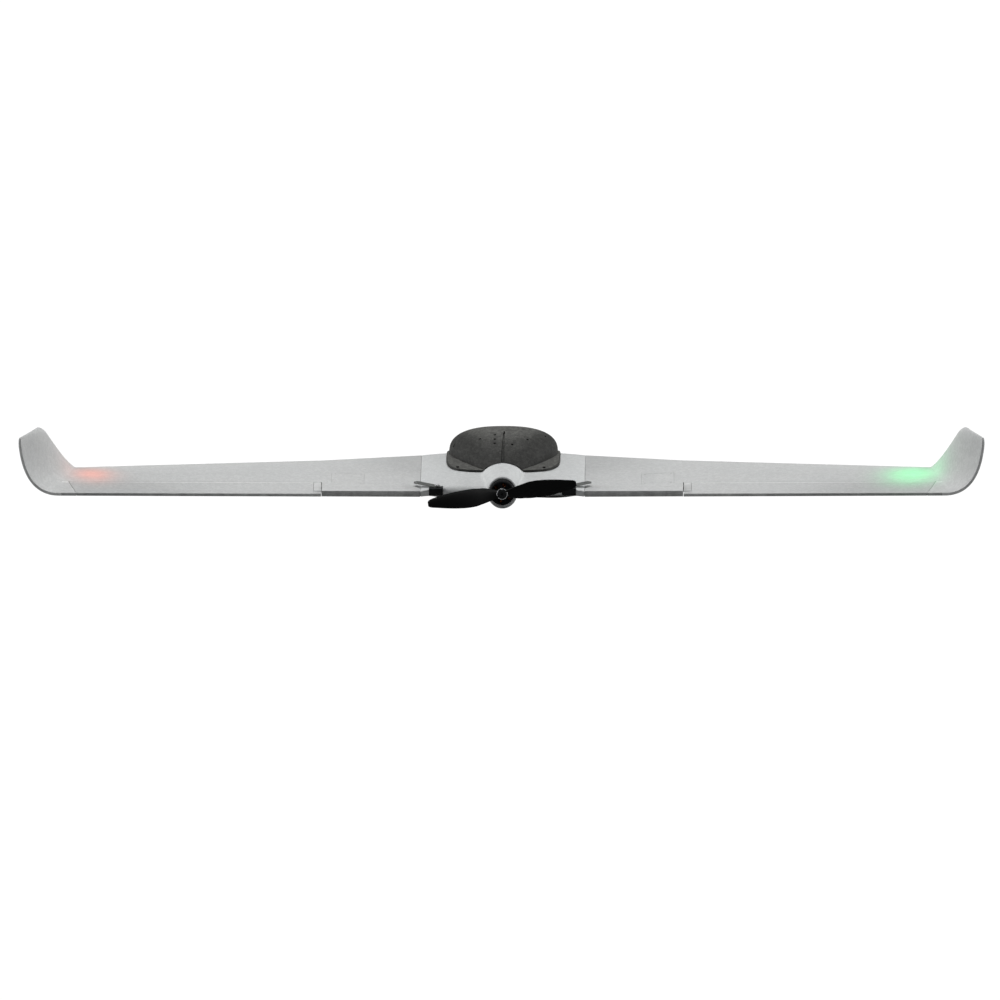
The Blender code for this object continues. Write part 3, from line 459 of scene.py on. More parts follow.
def make_materials():
    """A material for each slot of the record, and for a few pieces of their own."""
    return wing_foams() | {
        "white_foam": foam("body_foam", BODY_WHITE, 0.05, FOAM_RELIEF),
        "prop_plastic": plastic("propeller_nylon", (0.0018, 0.0019, 0.002), 0.5, specular=0.12),
        "dark_foam": foam("dark_foam", (0.115, 0.115, 0.107), 0.26, 0.00026, (0.6, 0.85), POD_PAINTED_SHADE),
        "black_plastic": plastic("black_nylon", (0.0035, 0.004, 0.005), 0.42, specular=0.22),
        "grey_plastic": plastic("grey_plastic", (0.09, 0.095, 0.09), 0.45),
        "white_nylon": plastic("white_nylon", (0.6, 0.605, 0.6), 0.55, relief=0.00003, specular=0.3),
        "carbon": carbon(),
        "steel": metal("turned_steel", (0.55, 0.55, 0.56), 0.25),
        "collet_aluminium": metal("turned_aluminium", (0.75, 0.76, 0.77), 0.25),
        "black_metal": metal("black_anodised", (0.004, 0.004, 0.005), 0.5, 0.0006, 0.0, 0.08),
        "copper": windings(),
        "birch_ply": plywood(),
        "battery_wrap": shrink_wrap(),
        "webbing": woven_strap(),
        "green_board": circuit_board(),
        "red_lamp": lamp("red_lamp_lens", (1.0, 0.08, 0.04), 4.0),
        "green_lamp": lamp("green_lamp_lens", (0.05, 1.0, 0.25), 4.0),
        "wire_jacket": plastic("silicone_jacket", (0.015, 0.015, 0.015), 0.5, specular=0.4),
    }


# ---- making meshes --------------------------------------------------------------------------
def add_mesh(name, points, faces, place=None):
    """Points in millimetres from the datum, or from the origin of place."""
    if place:
        points = [place @ Vector(p) for p in points]
    mesh = bpy.data.meshes.new(name)
    mesh.from_pydata([DATUM + Vector(p) * MM for p in points], [], faces)
    mesh.update()
    return add_object(name, mesh)


def loft(name, rings, ring_closed=False, place=None):
    """Skin through rings of equal point count; ends are capped unless the last meets the first."""
    count = len(rings[0])
    points = [p for ring in rings for p in ring]
    faces = []
    joins = len(rings) if ring_closed else len(rings) - 1
    for i in range(joins):
        a, b = i * count, ((i + 1) % len(rings)) * count
        for j in range(count):
            k = (j + 1) % count
            faces.append((a + j, a + k, b + k, b + j))
    if not ring_closed:
        faces.append(tuple(reversed(range(count))))
        faces.append(tuple(range(len(points) - count, len(points))))
    made = add_mesh(name, points, faces, place)
    face_outwards(made.data)
    return made


def face_outwards(mesh):
    """Turn every face over if the closed mesh is inside out."""
    mesh.calc_loop_triangles()
    volume = 0.0
    middle = mesh.vertices[0].co
    for triangle in mesh.loop_triangles:
        a, b, c = (mesh.vertices[i].co - middle for i in triangle.vertices)
        volume += a.dot(b.cross(c))
    if volume < 0:
        mesh.flip_normals()


def circle(centre, radius, axis, segments):
    axis = Vector(axis).normalized()
    side = axis.cross(Vector((1, 0, 0))).normalized() if abs(axis.x) < 0.99 else Vector((0, 1, 0))
    other = axis.cross(side)
    turns = [2 * math.pi * i / segments for i in range(segments)]
    return [Vector(centre) + radius * (math.cos(t) * side + math.sin(t) * other) for t in turns]


def turned(name, centre, axis, profile, segments=72, place=None, hollow=False):
    """A solid of revolution; profile lists (distance along axis, radius), closed on itself if hollow."""
    way = Vector(axis).normalized()
    rings = [circle(Vector(centre) + along * way, radius, way, segments) for along, radius in profile]
    return loft(name, rings, hollow, place)


def rod(name, start, end, radius, segments=48, place=None):
    way = Vector(end) - Vector(start)
    return turned(name, start, way, [(0, radius), (way.length, radius)], segments, place)


def box(name, low, high):
    x0, y0, z0 = low
    x1, y1, z1 = high
    bottom = [(x0, y0, z0), (x1, y0, z0), (x1, y1, z0), (x0, y1, z0)]
    return loft(name, [bottom, [(x, y, z1) for x, y, _ in bottom]])


def side_box(name, side, low, high):
    xs = sorted((side * low[0], side * high[0]))
    return box(name, (xs[0], low[1], low[2]), (xs[1], high[1], high[2]))


def apply_modifiers(piece):
    graph = bpy.context.evaluated_depsgraph_get()
    mesh = bpy.data.meshes.new_from_object(piece.evaluated_get(graph))
    piece.modifiers.clear()
    piece.data = mesh


def carve(piece, removed=(), joined=(), kept=()):
    """Join forms to the piece, cut forms out of it or keep what lies in them; they are used up."""
    for operation, forms in (("UNION", joined), ("DIFFERENCE", removed), ("INTERSECT", kept)):
        for form in forms:
            step = piece.modifiers.new(form.name, "BOOLEAN")
            step.operation = operation
            step.solver = "EXACT"
            step.object = form
    apply_modifiers(piece)
    for form in (*joined, *removed, *kept):
        bpy.data.objects.remove(form)


def round_edges(piece, width, segments=2, angle=40):
    bevel = piece.modifiers.new("edges", "BEVEL")
    bevel.width = width * MM
    bevel.segments = segments
    bevel.limit_method = "ANGLE"
    bevel.angle_limit = math.radians(angle)
    bevel.use_clamp_overlap = True
    apply_modifiers(piece)


def show(piece, node_name, look=None, angle=35):
    """Shade the piece and let it stand for a CAD node, with that node's body and finish."""
    slot = SLOTS[node_name]
    mesh = piece.data
    mesh.materials.clear()
    mesh.materials.append(MATERIALS[look or slot])
    mesh.shade_smooth()
    mesh.set_sharp_from_angle(angle=math.radians(angle))
    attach(piece, frame["nodes"][node_name]["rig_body"])
    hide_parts(node_name)


def side_loft(name, rings, side):
    """A skin for the given side through rings laid out for starboard."""
    return loft(name, [mirrored(ring, side) for ring in rings])


def side_name(side):
    return "right" if side > 0 else "left"


def mirrored(points, side):
    """The same points on the given side of the aeroplane."""
    return [Vector((p[0] * side, p[1], p[2])) for p in points]


def squared(value, power):
    """A sine or cosine that squares off a round outline the more, the smaller the power."""
    return math.copysign(abs(value) ** power, value)


# ---- wing shape, the same as the CAD model's with finer steps ---------------------------------
JOINT_X = 98.0
SEAM = 0.15
ROOT_CHORD = 224.6
LE_SWEEP, TE_SWEEP = 0.3746, 0.2126
DIHEDRAL = 0.041
ROOT_THICKNESS, WING_THICKNESS, TIP_THICKNESS = 0.129, 0.1, 0.085
TAIL_THIN = (1.5, 1.5)  # half the blunt trailing edge, above and below the mean line
TAIL_FIXED = (5.0, 1.3)  # the same beside the body, where nothing moves
ELEVON_IN_X, ELEVON_OUT_X = 215.0, 515.0
ELEVON_CHORD = 51.0
ELEVON_GAP = 0.6
WINGLET_LE_X, WINGLET_TE_X = (507.0, 516.0), (526.0, 568.5)
TIP_LE, TIP_TE = Vector((548.0, -38.0, 91.5)), Vector((572.0, -123.0, 90.7))
JOINER_Y, JOINER_Z, JOINER_R, JOINER_X = 150.0, 5.0, 4.0, 218.0
PIN_Y, PIN_Z, PIN_R = 50.0, 1.0, 2.0

FRONT_STEPS = [1 - math.cos(math.pi / 2 * i / 26) for i in range(27)]  # nose to hinge
REAR_STEPS = [i / 8 for i in range(1, 9)]  # hinge to trailing edge
HINGE_ARC_STEPS = 16
HINGE_LIP = 0.35  # the elevon's rounded nose stands a little proud of the skin
SEAM_SHOWN = 0.05  # half the seam that shows between body and wing


def half_thickness(x):
    """Half the depth of a section of thickness ratio one, at chord fraction x."""
    return 5 * (0.2969 * math.sqrt(x) - 0.126 * x - 0.3516 * x**2 + 0.2843 * x**3 - 0.1015 * x**4)


def camber(x):
    """Mean line with a slightly reflexed tail."""
    return 0.11 * x * (1 - x) * (0.85 - x)


class Section:
    """One rib of the wing: leading and trailing edge, thickness direction and ratio, hinge, tail."""

    def __init__(self, nose, tail, normal, thickness, hinge, blunt=TAIL_THIN):
        self.nose, self.tail, self.normal = Vector(nose), Vector(tail), Vector(normal).normalized()
        self.chord = (self.tail - self.nose).length
        self.thickness, self.hinge = thickness, hinge
        self.blunt = {1: blunt[0], -1: blunt[1]}

    def point(self, x, side):
        half = half_thickness(x) * self.thickness * self.chord + self.blunt[side] * x**8
        return self.nose.lerp(self.tail, x) + (camber(x) * self.chord + side * half) * self.normal

    def steps(self):
        return [self.hinge * s for s in FRONT_STEPS] + self.rear_steps(1.0)

    def rear_steps(self, reach):
        return [self.hinge + (1 - self.hinge) * s * reach for s in REAR_STEPS]

    def ring(self):
        """Trailing edge over the top to the nose and back underneath."""
        steps = self.steps()
        top = [self.point(x, 1) for x in reversed(steps)]
        return top + [self.point(x, -1) for x in steps[1:]]

    def hinge_ends(self):
        return self.point(self.hinge, 1), self.point(self.hinge, -1)

    def arc(self, grow):
        """Half circle about the hinge axis on its nose side, from the upper to the lower skin."""
        top, bottom = self.hinge_ends()
        up = (top - bottom).normalized()
        forward = (self.nose - self.tail).normalized()
        radius = (top - bottom).length / 2 + grow
        turns = [math.pi * i / HINGE_ARC_STEPS for i in range(HINGE_ARC_STEPS + 1)]
        middle = (top + bottom) / 2
        return [middle + radius * (math.cos(t) * up + math.sin(t) * forward) for t in turns]

    def rear_outline(self, reach=1.0):
        """Nose arc about the hinge axis, then the skins back to the given share of the elevon."""
        stops = self.rear_steps(reach)
        under = [self.point(x, -1) for x in stops]
        return self.arc(HINGE_LIP) + under + [self.point(x, 1) for x in reversed(stops)]

    def arm_outline(self):
        """The front part of the rear outline, as far back as the drive arm goes."""
        return self.rear_outline(0.7)

    def bay_outline(self):
        """The rear outline grown by the running gap and run out past the trailing edge."""
        top, bottom = self.hinge_ends()
        back = (self.tail - self.nose).normalized()
        reach = (top - bottom).normalized() * ((top - bottom).length / 2 + ELEVON_GAP + 3)
        far = (top + bottom) / 2 + back * ((1 - self.hinge) * self.chord + 8.0)
        return self.arc(ELEVON_GAP) + [far - reach, far + reach]


def panel_nose(x):
    d = x - JOINT_X
    return Vector((x, ROOT_CHORD - LE_SWEEP * d, DIHEDRAL * d))


def panel_tail(x):
    d = x - JOINT_X
    return Vector((x, -TE_SWEEP * d, DIHEDRAL * d))


def panel_section(x, blunt=TAIL_THIN):
    """A rib along the flight direction, thicker towards the root."""
    nose, tail = panel_nose(x), panel_tail(x)
    hinge = 1 - ELEVON_CHORD / (nose - tail).length
    outward = (x - JOINT_X) / (ELEVON_IN_X - JOINT_X)
    thickness = ROOT_THICKNESS + (WING_THICKNESS - ROOT_THICKNESS) * min(outward, 1)
    return Section(nose, tail, (0, 0, 1), thickness, hinge, blunt)


def winglet_edges():
    """Control points of the leading and the trailing edge, from the panel up to the tip."""
    leading = [panel_nose(x) for x in WINGLET_LE_X] + [TIP_LE]
    trailing = [panel_tail(x) for x in WINGLET_TE_X] + [TIP_TE]
    return leading, trailing


def bezier(points, t):
    a, b, c = points
    return a.lerp(b, t).lerp(b.lerp(c, t), t)


def bezier_way(points, t):
    a, b, c = points
    return (b - a).lerp(c - b, t)


def hinge_share():
    """Hinge position along the oblique rib where the winglet begins."""
    leading, trailing = winglet_edges()
    nose, rib = leading[0], trailing[0] - leading[0]
    at = panel_tail(ELEVON_IN_X) + Vector((0, ELEVON_CHORD, 0))
    way = Vector((1, -TE_SWEEP, 0))
    return ((at.x - nose.x) * way.y - (at.y - nose.y) * way.x) / (rib.x * way.y - rib.y * way.x)


def winglet_section(t, tip_turn=0.0):
    """Oblique ribs, t from 0 on the panel to 1 at the tip, whose edge rounds off with tip_turn."""
    leading, trailing = winglet_edges()
    nose, tail = bezier(leading, t), bezier(trailing, t)
    back = (tail - nose).normalized()
    if t == 0:
        normal = Vector((0, 0, 1))
    else:
        normal = back.cross(bezier_way(leading, t) + bezier_way(trailing, t))
    lost = 1 - math.cos(tip_turn)
    thickness = (WING_THICKNESS + (TIP_THICKNESS - WING_THICKNESS) * t) * (1 - 0.7 * lost)
    blunt = [edge * (1 - 0.5 * lost) for edge in TAIL_THIN]
    nose, tail = nose + back * 15 * lost, tail - back * 4 * lost
    return Section(nose, tail, normal, thickness, hinge_share(), blunt)


def wing_sections():
    panel = [panel_section(x, TAIL_FIXED) for x in (JOINT_X + SEAM_SHOWN, ELEVON_IN_X - 0.4)]
    panel.append(panel_section(ELEVON_IN_X + 0.4))
    winglet = [winglet_section(0.91 * (i / 26) ** 1.15) for i in range(26)]
    for degrees in range(0, 91, 9):
        turn = math.radians(degrees)
        winglet.append(winglet_section(0.91 + 0.09 * math.sin(turn), turn))
    return panel + winglet


def clip(starts, ends, plane_point, plane_normal):
    """Where each line from a start to its end crosses a plane."""
    found = []
    for a, b in zip(starts, ends):
        share = (plane_point - a).dot(plane_normal) / (b - a).dot(plane_normal)
        found.append(a.lerp(b, share))
    return found


def hinge_axis():
    """Two points on the hinge axis of the starboard elevon, at its inner and outer ribs."""
    ends = []
    for section in (panel_section(ELEVON_IN_X), winglet_section(0)):
        top, bottom = section.hinge_ends()
        ends.append((top + bottom) / 2)
    return ends


def on_hinge(x):
    """The point of the hinge axis at this X."""
    a, b = hinge_axis()
    return a.lerp(b, (x - a.x) / (b.x - a.x))


def elevon_rings(outline, inner_x, outer_x, outer_way=None):
    """Outlines of a slice of the elevon: square to the flight at inner_x, to outer_way at outer_x."""
    starts = outline(panel_section(ELEVON_IN_X))
    ends = outline(winglet_section(0))
    axis_in, axis_out = hinge_axis()
    inner = clip(starts, ends, Vector((inner_x, 0, 0)), Vector((1, 0, 0)))
    outer = clip(starts, ends, on_hinge(outer_x), outer_way or (axis_out - axis_in).normalized())
    return [inner, outer]


def skin_height(x, y, side=1):
    """Height of the wing skin above the datum at a point of the inner panel."""
    section = panel_section(x, TAIL_FIXED)
    share = (section.nose.y - y) / section.chord
    return section.point(share, side).z


# ---- wings and elevons ----------------------------------------------------------------------
SERVO_POCKET = ((165.0, 26.0, 0.3), (204.0, 72.0, 40.0))
COVER_GAP = 0.12
ARM_OUT_X = 224.6
LAMP_BASE_Z = 12.0
LAMP_HALF = (8.3, 10.3)  # half the lamp's pocket, across and along
HINGE_BORE_R = 1.3
ROOT_PLATE_DEPTH = 2.2
ROOT_PLATE = ((46.0, -3.6), (166.0, -8.4), (166.0, 13.2), (46.0, 4.8))  # Y and Z of its corners


def joiner_bore(x0, x1):
    return rod("joiner_bore", (x0, JOINER_Y, JOINER_Z), (x1, JOINER_Y, JOINER_Z), JOINER_R + GAP)


def side_rod(name, side, x0, x1, radius):
    return rod(name, (side * x0, PIN_Y, PIN_Z), (side * x1, PIN_Y, PIN_Z), radius, 24)


def plate_pocket(side, way):
    """The recess for the plywood plate in a root face; way is 1 in the wing and -1 in the body."""
    near = JOINT_X + way * (SEAM - 2.0)
    far = JOINT_X + way * (SEAM + ROOT_PLATE_DEPTH + GAP)
    middle_y = sum(y for y, _ in ROOT_PLATE) / 4
    outline = [(y + math.copysign(GAP, y - middle_y), z + math.copysign(GAP, z)) for y, z in ROOT_PLATE]
    return side_loft("plate_pocket", [[(x, y, z) for y, z in outline] for x in (near, far)], side)


def lamp_pocket(side):
    low = (LAMP_X - LAMP_HALF[0], LAMP_Y - LAMP_HALF[1], -5)
    high = (LAMP_X + LAMP_HALF[0], LAMP_Y + LAMP_HALF[1], LAMP_BASE_Z + 6.3)
    return side_box("lamp_pocket", side, low, high)


def build_wing(side):
    """Foam panel and winglet in one moulding, with its elevon bay and pockets."""
    name = side_name(side)
    wing = side_loft(f"wing_shell_{name}", [section.ring() for section in wing_sections()], side)
    bay = elevon_rings(Section.bay_outline, ELEVON_IN_X, ELEVON_OUT_X + ELEVON_GAP)
    carve(wing, [side_loft("elevon_bay", bay, side)])
    round_edges(wing, 0.5, 2, 50)
    shaft_way = mirrored([on_hinge(x) for x in (198, 219)], side)
    hinge_socket = mirrored([on_hinge(x) for x in (512, 524)], side)
    removed = [
        joiner_bore(side * 90, side * (JOINER_X + 2)),
        side_rod("pin_bore", side, 90, 125, PIN_R + GAP),
        plate_pocket(side, 1),
        side_box("servo_pocket", side, *SERVO_POCKET),
        rod("servo_shaft_way", *shaft_way, 3.4),
        rod("hinge_socket", *hinge_socket, HINGE_BORE_R),
        lamp_pocket(side),
    ]
    carve(wing, removed)
    show(wing, f"wing_{name}", f"white_foam_{name}")


def build_elevon(side):
    """Foam elevon with rounded edges, and the nylon drive arm let into its inner end."""
    name = side_name(side)
    shaft_in, shaft_out, beyond = mirrored([on_hinge(x) for x in (199.8, 219.0, 540.0)], side)
    inner_x = ELEVON_IN_X + ELEVON_GAP
    rings = elevon_rings(Section.rear_outline, inner_x, ELEVON_OUT_X)
    elevon = side_loft(f"elevon_surface_{name}", rings, side)
    round_edges(elevon, 0.4, 2, 50)
    notch = side_box("arm_notch", side, (200, -14, -20), (ARM_OUT_X + GAP, 60, 40))
    carve(elevon, [notch, rod("elevon_bore", shaft_out, beyond, HINGE_BORE_R)])
    show(elevon, f"elevon_{name}", f"elevon_foam_{name}")
    rings = elevon_rings(Section.arm_outline, inner_x + 0.2, ARM_OUT_X, Vector((1, 0, 0)))
    arm = side_loft(f"drive_horn_{name}", rings, side)
    round_edges(arm, 0.35, 2, 50)
    carve(arm, [rod("arm_bore", shaft_in, shaft_out, 2.4)])
    show(arm, f"drive_arm_{name}")


def build_servo_cover(side):
    """Flush plate over the servo, with a countersink for a screw at each corner."""
    name = side_name(side)
    (x0, y0, _), (x1, y1, _) = SERVO_POCKET
    xs = (x0 + COVER_GAP, x1 - COVER_GAP)
    rings = []
    for i in range(13):
        y = y0 + COVER_GAP + (y1 - y0 - 2 * COVER_GAP) * i / 12
        ring = [Vector((x, y, skin_height(x, y) - 0.02)) for x in xs]
        ring += [Vector((x, y, skin_height(x, y) - 0.95)) for x in reversed(xs)]
        rings.append(ring)
    cover = side_loft(f"servo_hatch_{name}", rings, side)
    round_edges(cover, 0.25, 2, 50)
    sinks = []
    sink = [(0.0, 1.0), (0.35, 1.0), (1.3, 2.2)]
    for x, y in ((x0 + 4, y1 - 4), (x1 - 4, y1 - 4), (x0 + 4, y0 + 4), (x1 - 4, y0 + 4)):
        place = (side * x, y, skin_height(x, y) - 0.7)
        sinks.append(turned("screw_sink", place, (0, 0, 1), sink, 20))
    carve(cover, sinks)
    show(cover, f"servo_cover_{name}", f"white_foam_{name}")


# ---- centre body ----------------------------------------------------------------------------
NOSE_Y = 288.0
THRUST_Z, THRUST_TILT = 6.0, 5.0
WIRE_Z = 6.5
TAIL_ROUND, TAIL_ROLL = 7.0, 6.5  # how far forward and down the trailing edge is rounded off
TAIL_ROUND_X = 70.0  # out to the latches
BODY_STEPS = [(i / 44) ** 1.6 for i in range(45)]
BODY_RIB_XS = (0, 7, 14, 20, 26, 32, 38, 44, 49, 53, 57, 61, 65, 69, 73, 77, 81, 85, 89, 93, 96)
# along the body, height of the middle, half width, half height
NACELLE = (
    (-10.5, 5.3, 17.0, 18.6),
    (-9.9, 5.3, 17.6, 19.2),
    (-8.4, 5.3, 18.0, 19.6),
    (0.0, 5.6, 18.6, 19.7),
    (14.0, 6.6, 20.0, 19.6),
    (30.0, 8.0, 22.6, 19.1),
    (46.0, 9.0, 25.0, 18.4),
    (62.0, 9.5, 26.3, 17.6),
    (76.0, 9.5, 25.6, 16.8),
    (86.0, 9.5, 20.0, 11.5),
    (90.0, 9.5, 12.0, 6.0),
)
BATTERY_BAY = ((-37.0, 162.0, -11.0), (37.0, 246.0, 40.0))
ELECTRONICS_BAY = ((-37.0, 94.0, -11.0), (37.0, 138.0, 40.0))
MOTOR_AXIS = Matrix.Translation((0, 0, THRUST_Z)) @ Matrix.Rotation(math.radians(-THRUST_TILT), 4, "X")
AFT = (0, -1, 0)


def body_top(f):
    """Height of the thick middle's upper skin at chord fraction f."""
    if f < 0.45:
        return 20.5 * (1 - (1 - f / 0.45) ** 2.2)
    return 20.5 - 10.5 * ((f - 0.45) / 0.55) ** 1.6


def body_bottom(f):
    if f < 0.3:
        return -17.0 * (1 - (1 - f / 0.3) ** 2.2)
    if f < 0.7:
        return -17.0
    return -17.0 + 18.6 * ((f - 0.7) / 0.3) ** 1.1


def body_nose(x):
    return ROOT_CHORD + (NOSE_Y - ROOT_CHORD) * (1 - (abs(x) / JOINT_X) ** 1.9)


def body_height(x, f, side):
    """Height of a skin of the centre body, which thins into the wing's section at the joint."""
    chord = body_nose(x)
    wing = Section((0, chord, 0), (0, 0, 0), (0, 0, 1), ROOT_THICKNESS, 0.8, TAIL_FIXED).point(f, side).z
    deep = body_top(f) if side > 0 else body_bottom(f)
    thick = 1 - max(0, (abs(x) - 50) / (JOINT_X - 50)) ** 2.2
    return (1 - thick) * wing + thick * deep


def body_rib(x, at_x):
    """A rib of the shape that the body has at x, standing at at_x."""
    chord = body_nose(x)
    share = min(1, max(0, (TAIL_ROUND_X - abs(x)) / 6))
    over = []
    for i in range(9):
        turn = math.pi / 2 * i / 8
        y = (TAIL_ROUND * share + 0.02) * (1 - math.cos(turn))
        drop = (TAIL_ROLL * share + 0.02) * (1 - math.sin(turn))
        over.append(Vector((at_x, y, body_height(x, 1 - y / chord, 1) - drop)))
    for f in reversed(BODY_STEPS):
        if chord * (1 - f) > TAIL_ROUND + 0.5:
            over.append(Vector((at_x, chord * (1 - f), body_height(x, f, 1))))
    under = [Vector((at_x, chord * (1 - f), body_height(x, f, -1))) for f in BODY_STEPS[1:]]
    return over + under


def body_ribs():
    ribs = [body_rib(JOINT_X, JOINT_X - SEAM_SHOWN)]
    ribs += [body_rib(x, x) for x in reversed(BODY_RIB_XS)]
    return ribs + [mirrored(ring, -1) for ring in reversed(ribs[:-1])]


def body_skin(x, y):
    """Height of the centre body's upper skin."""
    share = min(max(1 - y / body_nose(x), 0), 1)
    return body_height(x, share, 1)


def build_nacelle(grow=0.0):
    """The motor's round nose of the body, as a form to join or to keep clear of."""
    rings = []
    for y, middle, half_width, half_height in NACELLE:
        ring = []
        for i in range(96):
            turn = 2 * math.pi * i / 96
            x = (half_width + grow) * math.cos(turn)
            ring.append(Vector((x, y, middle + (half_height + grow) * math.sin(turn))))
        rings.append(ring)
    return loft("nacelle_form", rings)


def soften_root(body, reach=34.0, passes=14):
    """Rub down the corner where nacelle and body meet, as in the mould."""
    mesh = body.data
    group = body.vertex_groups.new(name="root")
    for vertex in mesh.vertices:
        point = (vertex.co - DATUM) / MM
        weight = min(1.0, max(0.0, (reach - abs(point.x)) / 6), max(0.0, (point.y - 3) / 5))
        if weight > 0 and point.y < 92:
            group.add([vertex.index], weight, "REPLACE")
    rub = body.modifiers.new("rub", "SMOOTH")
    rub.vertex_group = "root"
    rub.factor = 0.5
    rub.iterations = passes
    apply_modifiers(body)


def latch_pocket(side):
    return side_box("latch_pocket", side, (71 - GAP, -2.6 - 4 * GAP, -7.6), (87.4 + GAP, 9.3, 17.2))


def build_body():
    """Centre body and nacelle in one moulding, with its bays, bores and latch pockets."""
    body = loft("centre_body", body_ribs())
    carve(body, joined=[build_nacelle()])
    remesh = body.modifiers.new("grid", "REMESH")
    remesh.mode = "VOXEL"
    remesh.voxel_size = 1.0 * MM
    apply_modifiers(body)
    soften_root(body)
    removed = [
        turned("motor_recess", (0, 0, 0), AFT, [(4.6, 15.2), (18.0, 15.2)], 96, MOTOR_AXIS),
        rod("wire_channel", (0, -6, WIRE_Z), (0, 100, WIRE_Z), 6.0),
        box("battery_bay", *BATTERY_BAY),
        box("electronics_bay", *ELECTRONICS_BAY),
        joiner_bore(-110, 110),
    ]
    for side in SIDES:
        removed.append(side_rod("pin_bore", side, 59.6, 110, PIN_R + GAP))
        removed.append(plate_pocket(side, -1))
        removed.append(latch_pocket(side))
    carve(body, removed)
    show(body, "fuselage_body", angle=45)


# ---- motor and propeller --------------------------------------------------------------------
def motor_ring(name, profile, segments=72):
    """A turned piece with a bore, on the motor's axis; profile lists (distance aft, radius)."""
    return turned(name, (0, 0, 0), AFT, profile, segments, MOTOR_AXIS, hollow=True)


def build_bell():
    """Outrunner bell: turned shell with six vents in its end face."""
    shell = [(13.2, 14.4), (13.6, 14.7), (33.8, 14.7), (35.4, 14.55), (36.5, 14.1), (37.1, 13.3)]
    shell += [(37.2, 12.6), (37.2, 2.2), (36.9, 1.8), (34.6, 1.8), (34.6, 13.0), (34.2, 13.2)]
    shell += [(13.6, 13.2), (13.2, 13.5)]
    bell = motor_ring("bell_can", shell, 120)
    vents = []
    for i in range(6):
        turn = math.radians(60 * i + 17)
        place = (9.6 * math.cos(turn), 0, 9.6 * math.sin(turn))
        vents.append(turned("vent", place, AFT, [(30, 2.5), (36.4, 2.5), (38, 3.8)], 32, MOTOR_AXIS))
    carve(bell, vents)
    show(bell, "motor_bell")


# rings of a coil: distance from the axis, half its width across the tooth, half its length
COIL = ((5.7, 0.8, 7.3), (7.0, 1.2, 8.2), (9.0, 1.9, 8.5), (11.0, 2.5, 8.5), (12.2, 2.2, 8.0))
COIL_Y = -23.2


def coil(degrees):
    """A packed coil round the stator tooth at this angle."""
    turn = Matrix.Rotation(math.radians(degrees), 4, "Y")
    rings = []
    for radius, half_width, half_length in COIL:
        ring = []
        for step in range(24):
            angle = 2 * math.pi * step / 24
            y = COIL_Y + squared(math.sin(angle), 0.35) * half_length
            ring.append(turn @ Vector((radius, y, squared(math.cos(angle), 0.7) * half_width)))
        rings.append(ring)
    return loft("coil", rings, place=MOTOR_AXIS)


def build_stator():
    """Core with twelve wound teeth."""
    core = [(12.0, 6.6), (12.0, 12.0), (9.0, 12.0), (9.0, 1.62), (31.0, 1.62), (31.0, 6.6)]
    core = motor_ring("stator_core", core)
    carve(core, joined=[coil(30 * i + 7) for i in range(12)])
    show(core, "motor_stator", angle=50)


PROP_Y = -45.0
PROP_PITCH = 125.0
PROP_ROOT_PITCH_RADIUS = 26.0  # inboard of this the blade keeps its angle
PROP_TURN = 8.0  # degrees, rest position
# radius, chord, trailing edge's height over the pitch line, thickness
BLADE = (
    (4.0, 10.0, 5.0, 4.4),
    (11.0, 14.5, 6.6, 3.8),
    (20.0, 20.5, 9.4, 2.8),
    (30.0, 23.6, 11.7, 2.4),
    (40.0, 23.4, 11.8, 2.2),
    (50.0, 21.8, 10.9, 2.0),
    (60.0, 19.6, 9.5, 1.8),
    (70.0, 16.4, 7.7, 1.6),
    (79.0, 12.9, 5.9, 1.3),
    (86.0, 9.6, 4.4, 1.1),
    (89.0, 5.6, 2.6, 0.9),
)
# share of the chord from the trailing edge, share of the thickness above the pitch line
BLADE_SHAPE = (
    (0.0, 0.25), (0.15, 0.5), (0.35, 0.82), (0.6, 1.0), (0.8, 0.85), (0.93, 0.5),
    (1.0, 0.1), (0.93, -0.15), (0.8, -0.25), (0.6, -0.28), (0.35, -0.27), (0.15, -0.2), (0.0, -0.1),
)


def between(rows, steps):
    """Rows with points of a smooth curve set in between them."""
    made = []
    for i in range(len(rows) - 1):
        a, b, c, d = (Vector(rows[min(max(k, 0), len(rows) - 1)]) for k in (i - 1, i, i + 1, i + 2))
        for step in range(steps):
            t = step / steps
            curve = 2 * b + (c - a) * t + (2 * a - 5 * b + 4 * c - d) * t**2
            made.append((curve + (3 * b - a - 3 * c + d) * t**3) / 2)
    return made + [Vector(rows[-1])]


def blade_ring(station):
    """Lens section of a blade that points along +X; it advances along +Y as it turns."""
    radius, chord, trailing, thick = station
    pitch = math.atan(PROP_PITCH / (2 * math.pi * max(radius, PROP_ROOT_PITCH_RADIUS)))
    ring = []
    for share, swell in between(BLADE_SHAPE, 3):
        along = trailing - chord * share
        off = thick * swell
        z = along * math.cos(pitch) - off * math.sin(pitch)
        y = -along * math.sin(pitch) - off * math.cos(pitch)
        ring.append(Vector((radius, y, z)))
    return ring


def build_propeller():
    """Two blades running into a moulded hub."""
    hub = [(41.4, 6.1), (41.9, 6.6), (48.1, 6.6), (48.6, 6.1), (48.6, 1.8), (41.4, 1.8)]
    prop = motor_ring("two_blade_propeller", hub)
    blades = []
    for turn in (0, 180):
        spin = Matrix.Rotation(math.radians(turn - PROP_TURN), 4, "Y")
        place = Matrix.Translation((0, PROP_Y, 0)) @ spin
        rings = [[place @ p for p in blade_ring(station)] for station in between(BLADE, 5)]
        blades.append(loft("blade", rings, place=MOTOR_AXIS))
    carve(prop, joined=blades)
    show(prop, "propeller", "prop_plastic", 50)


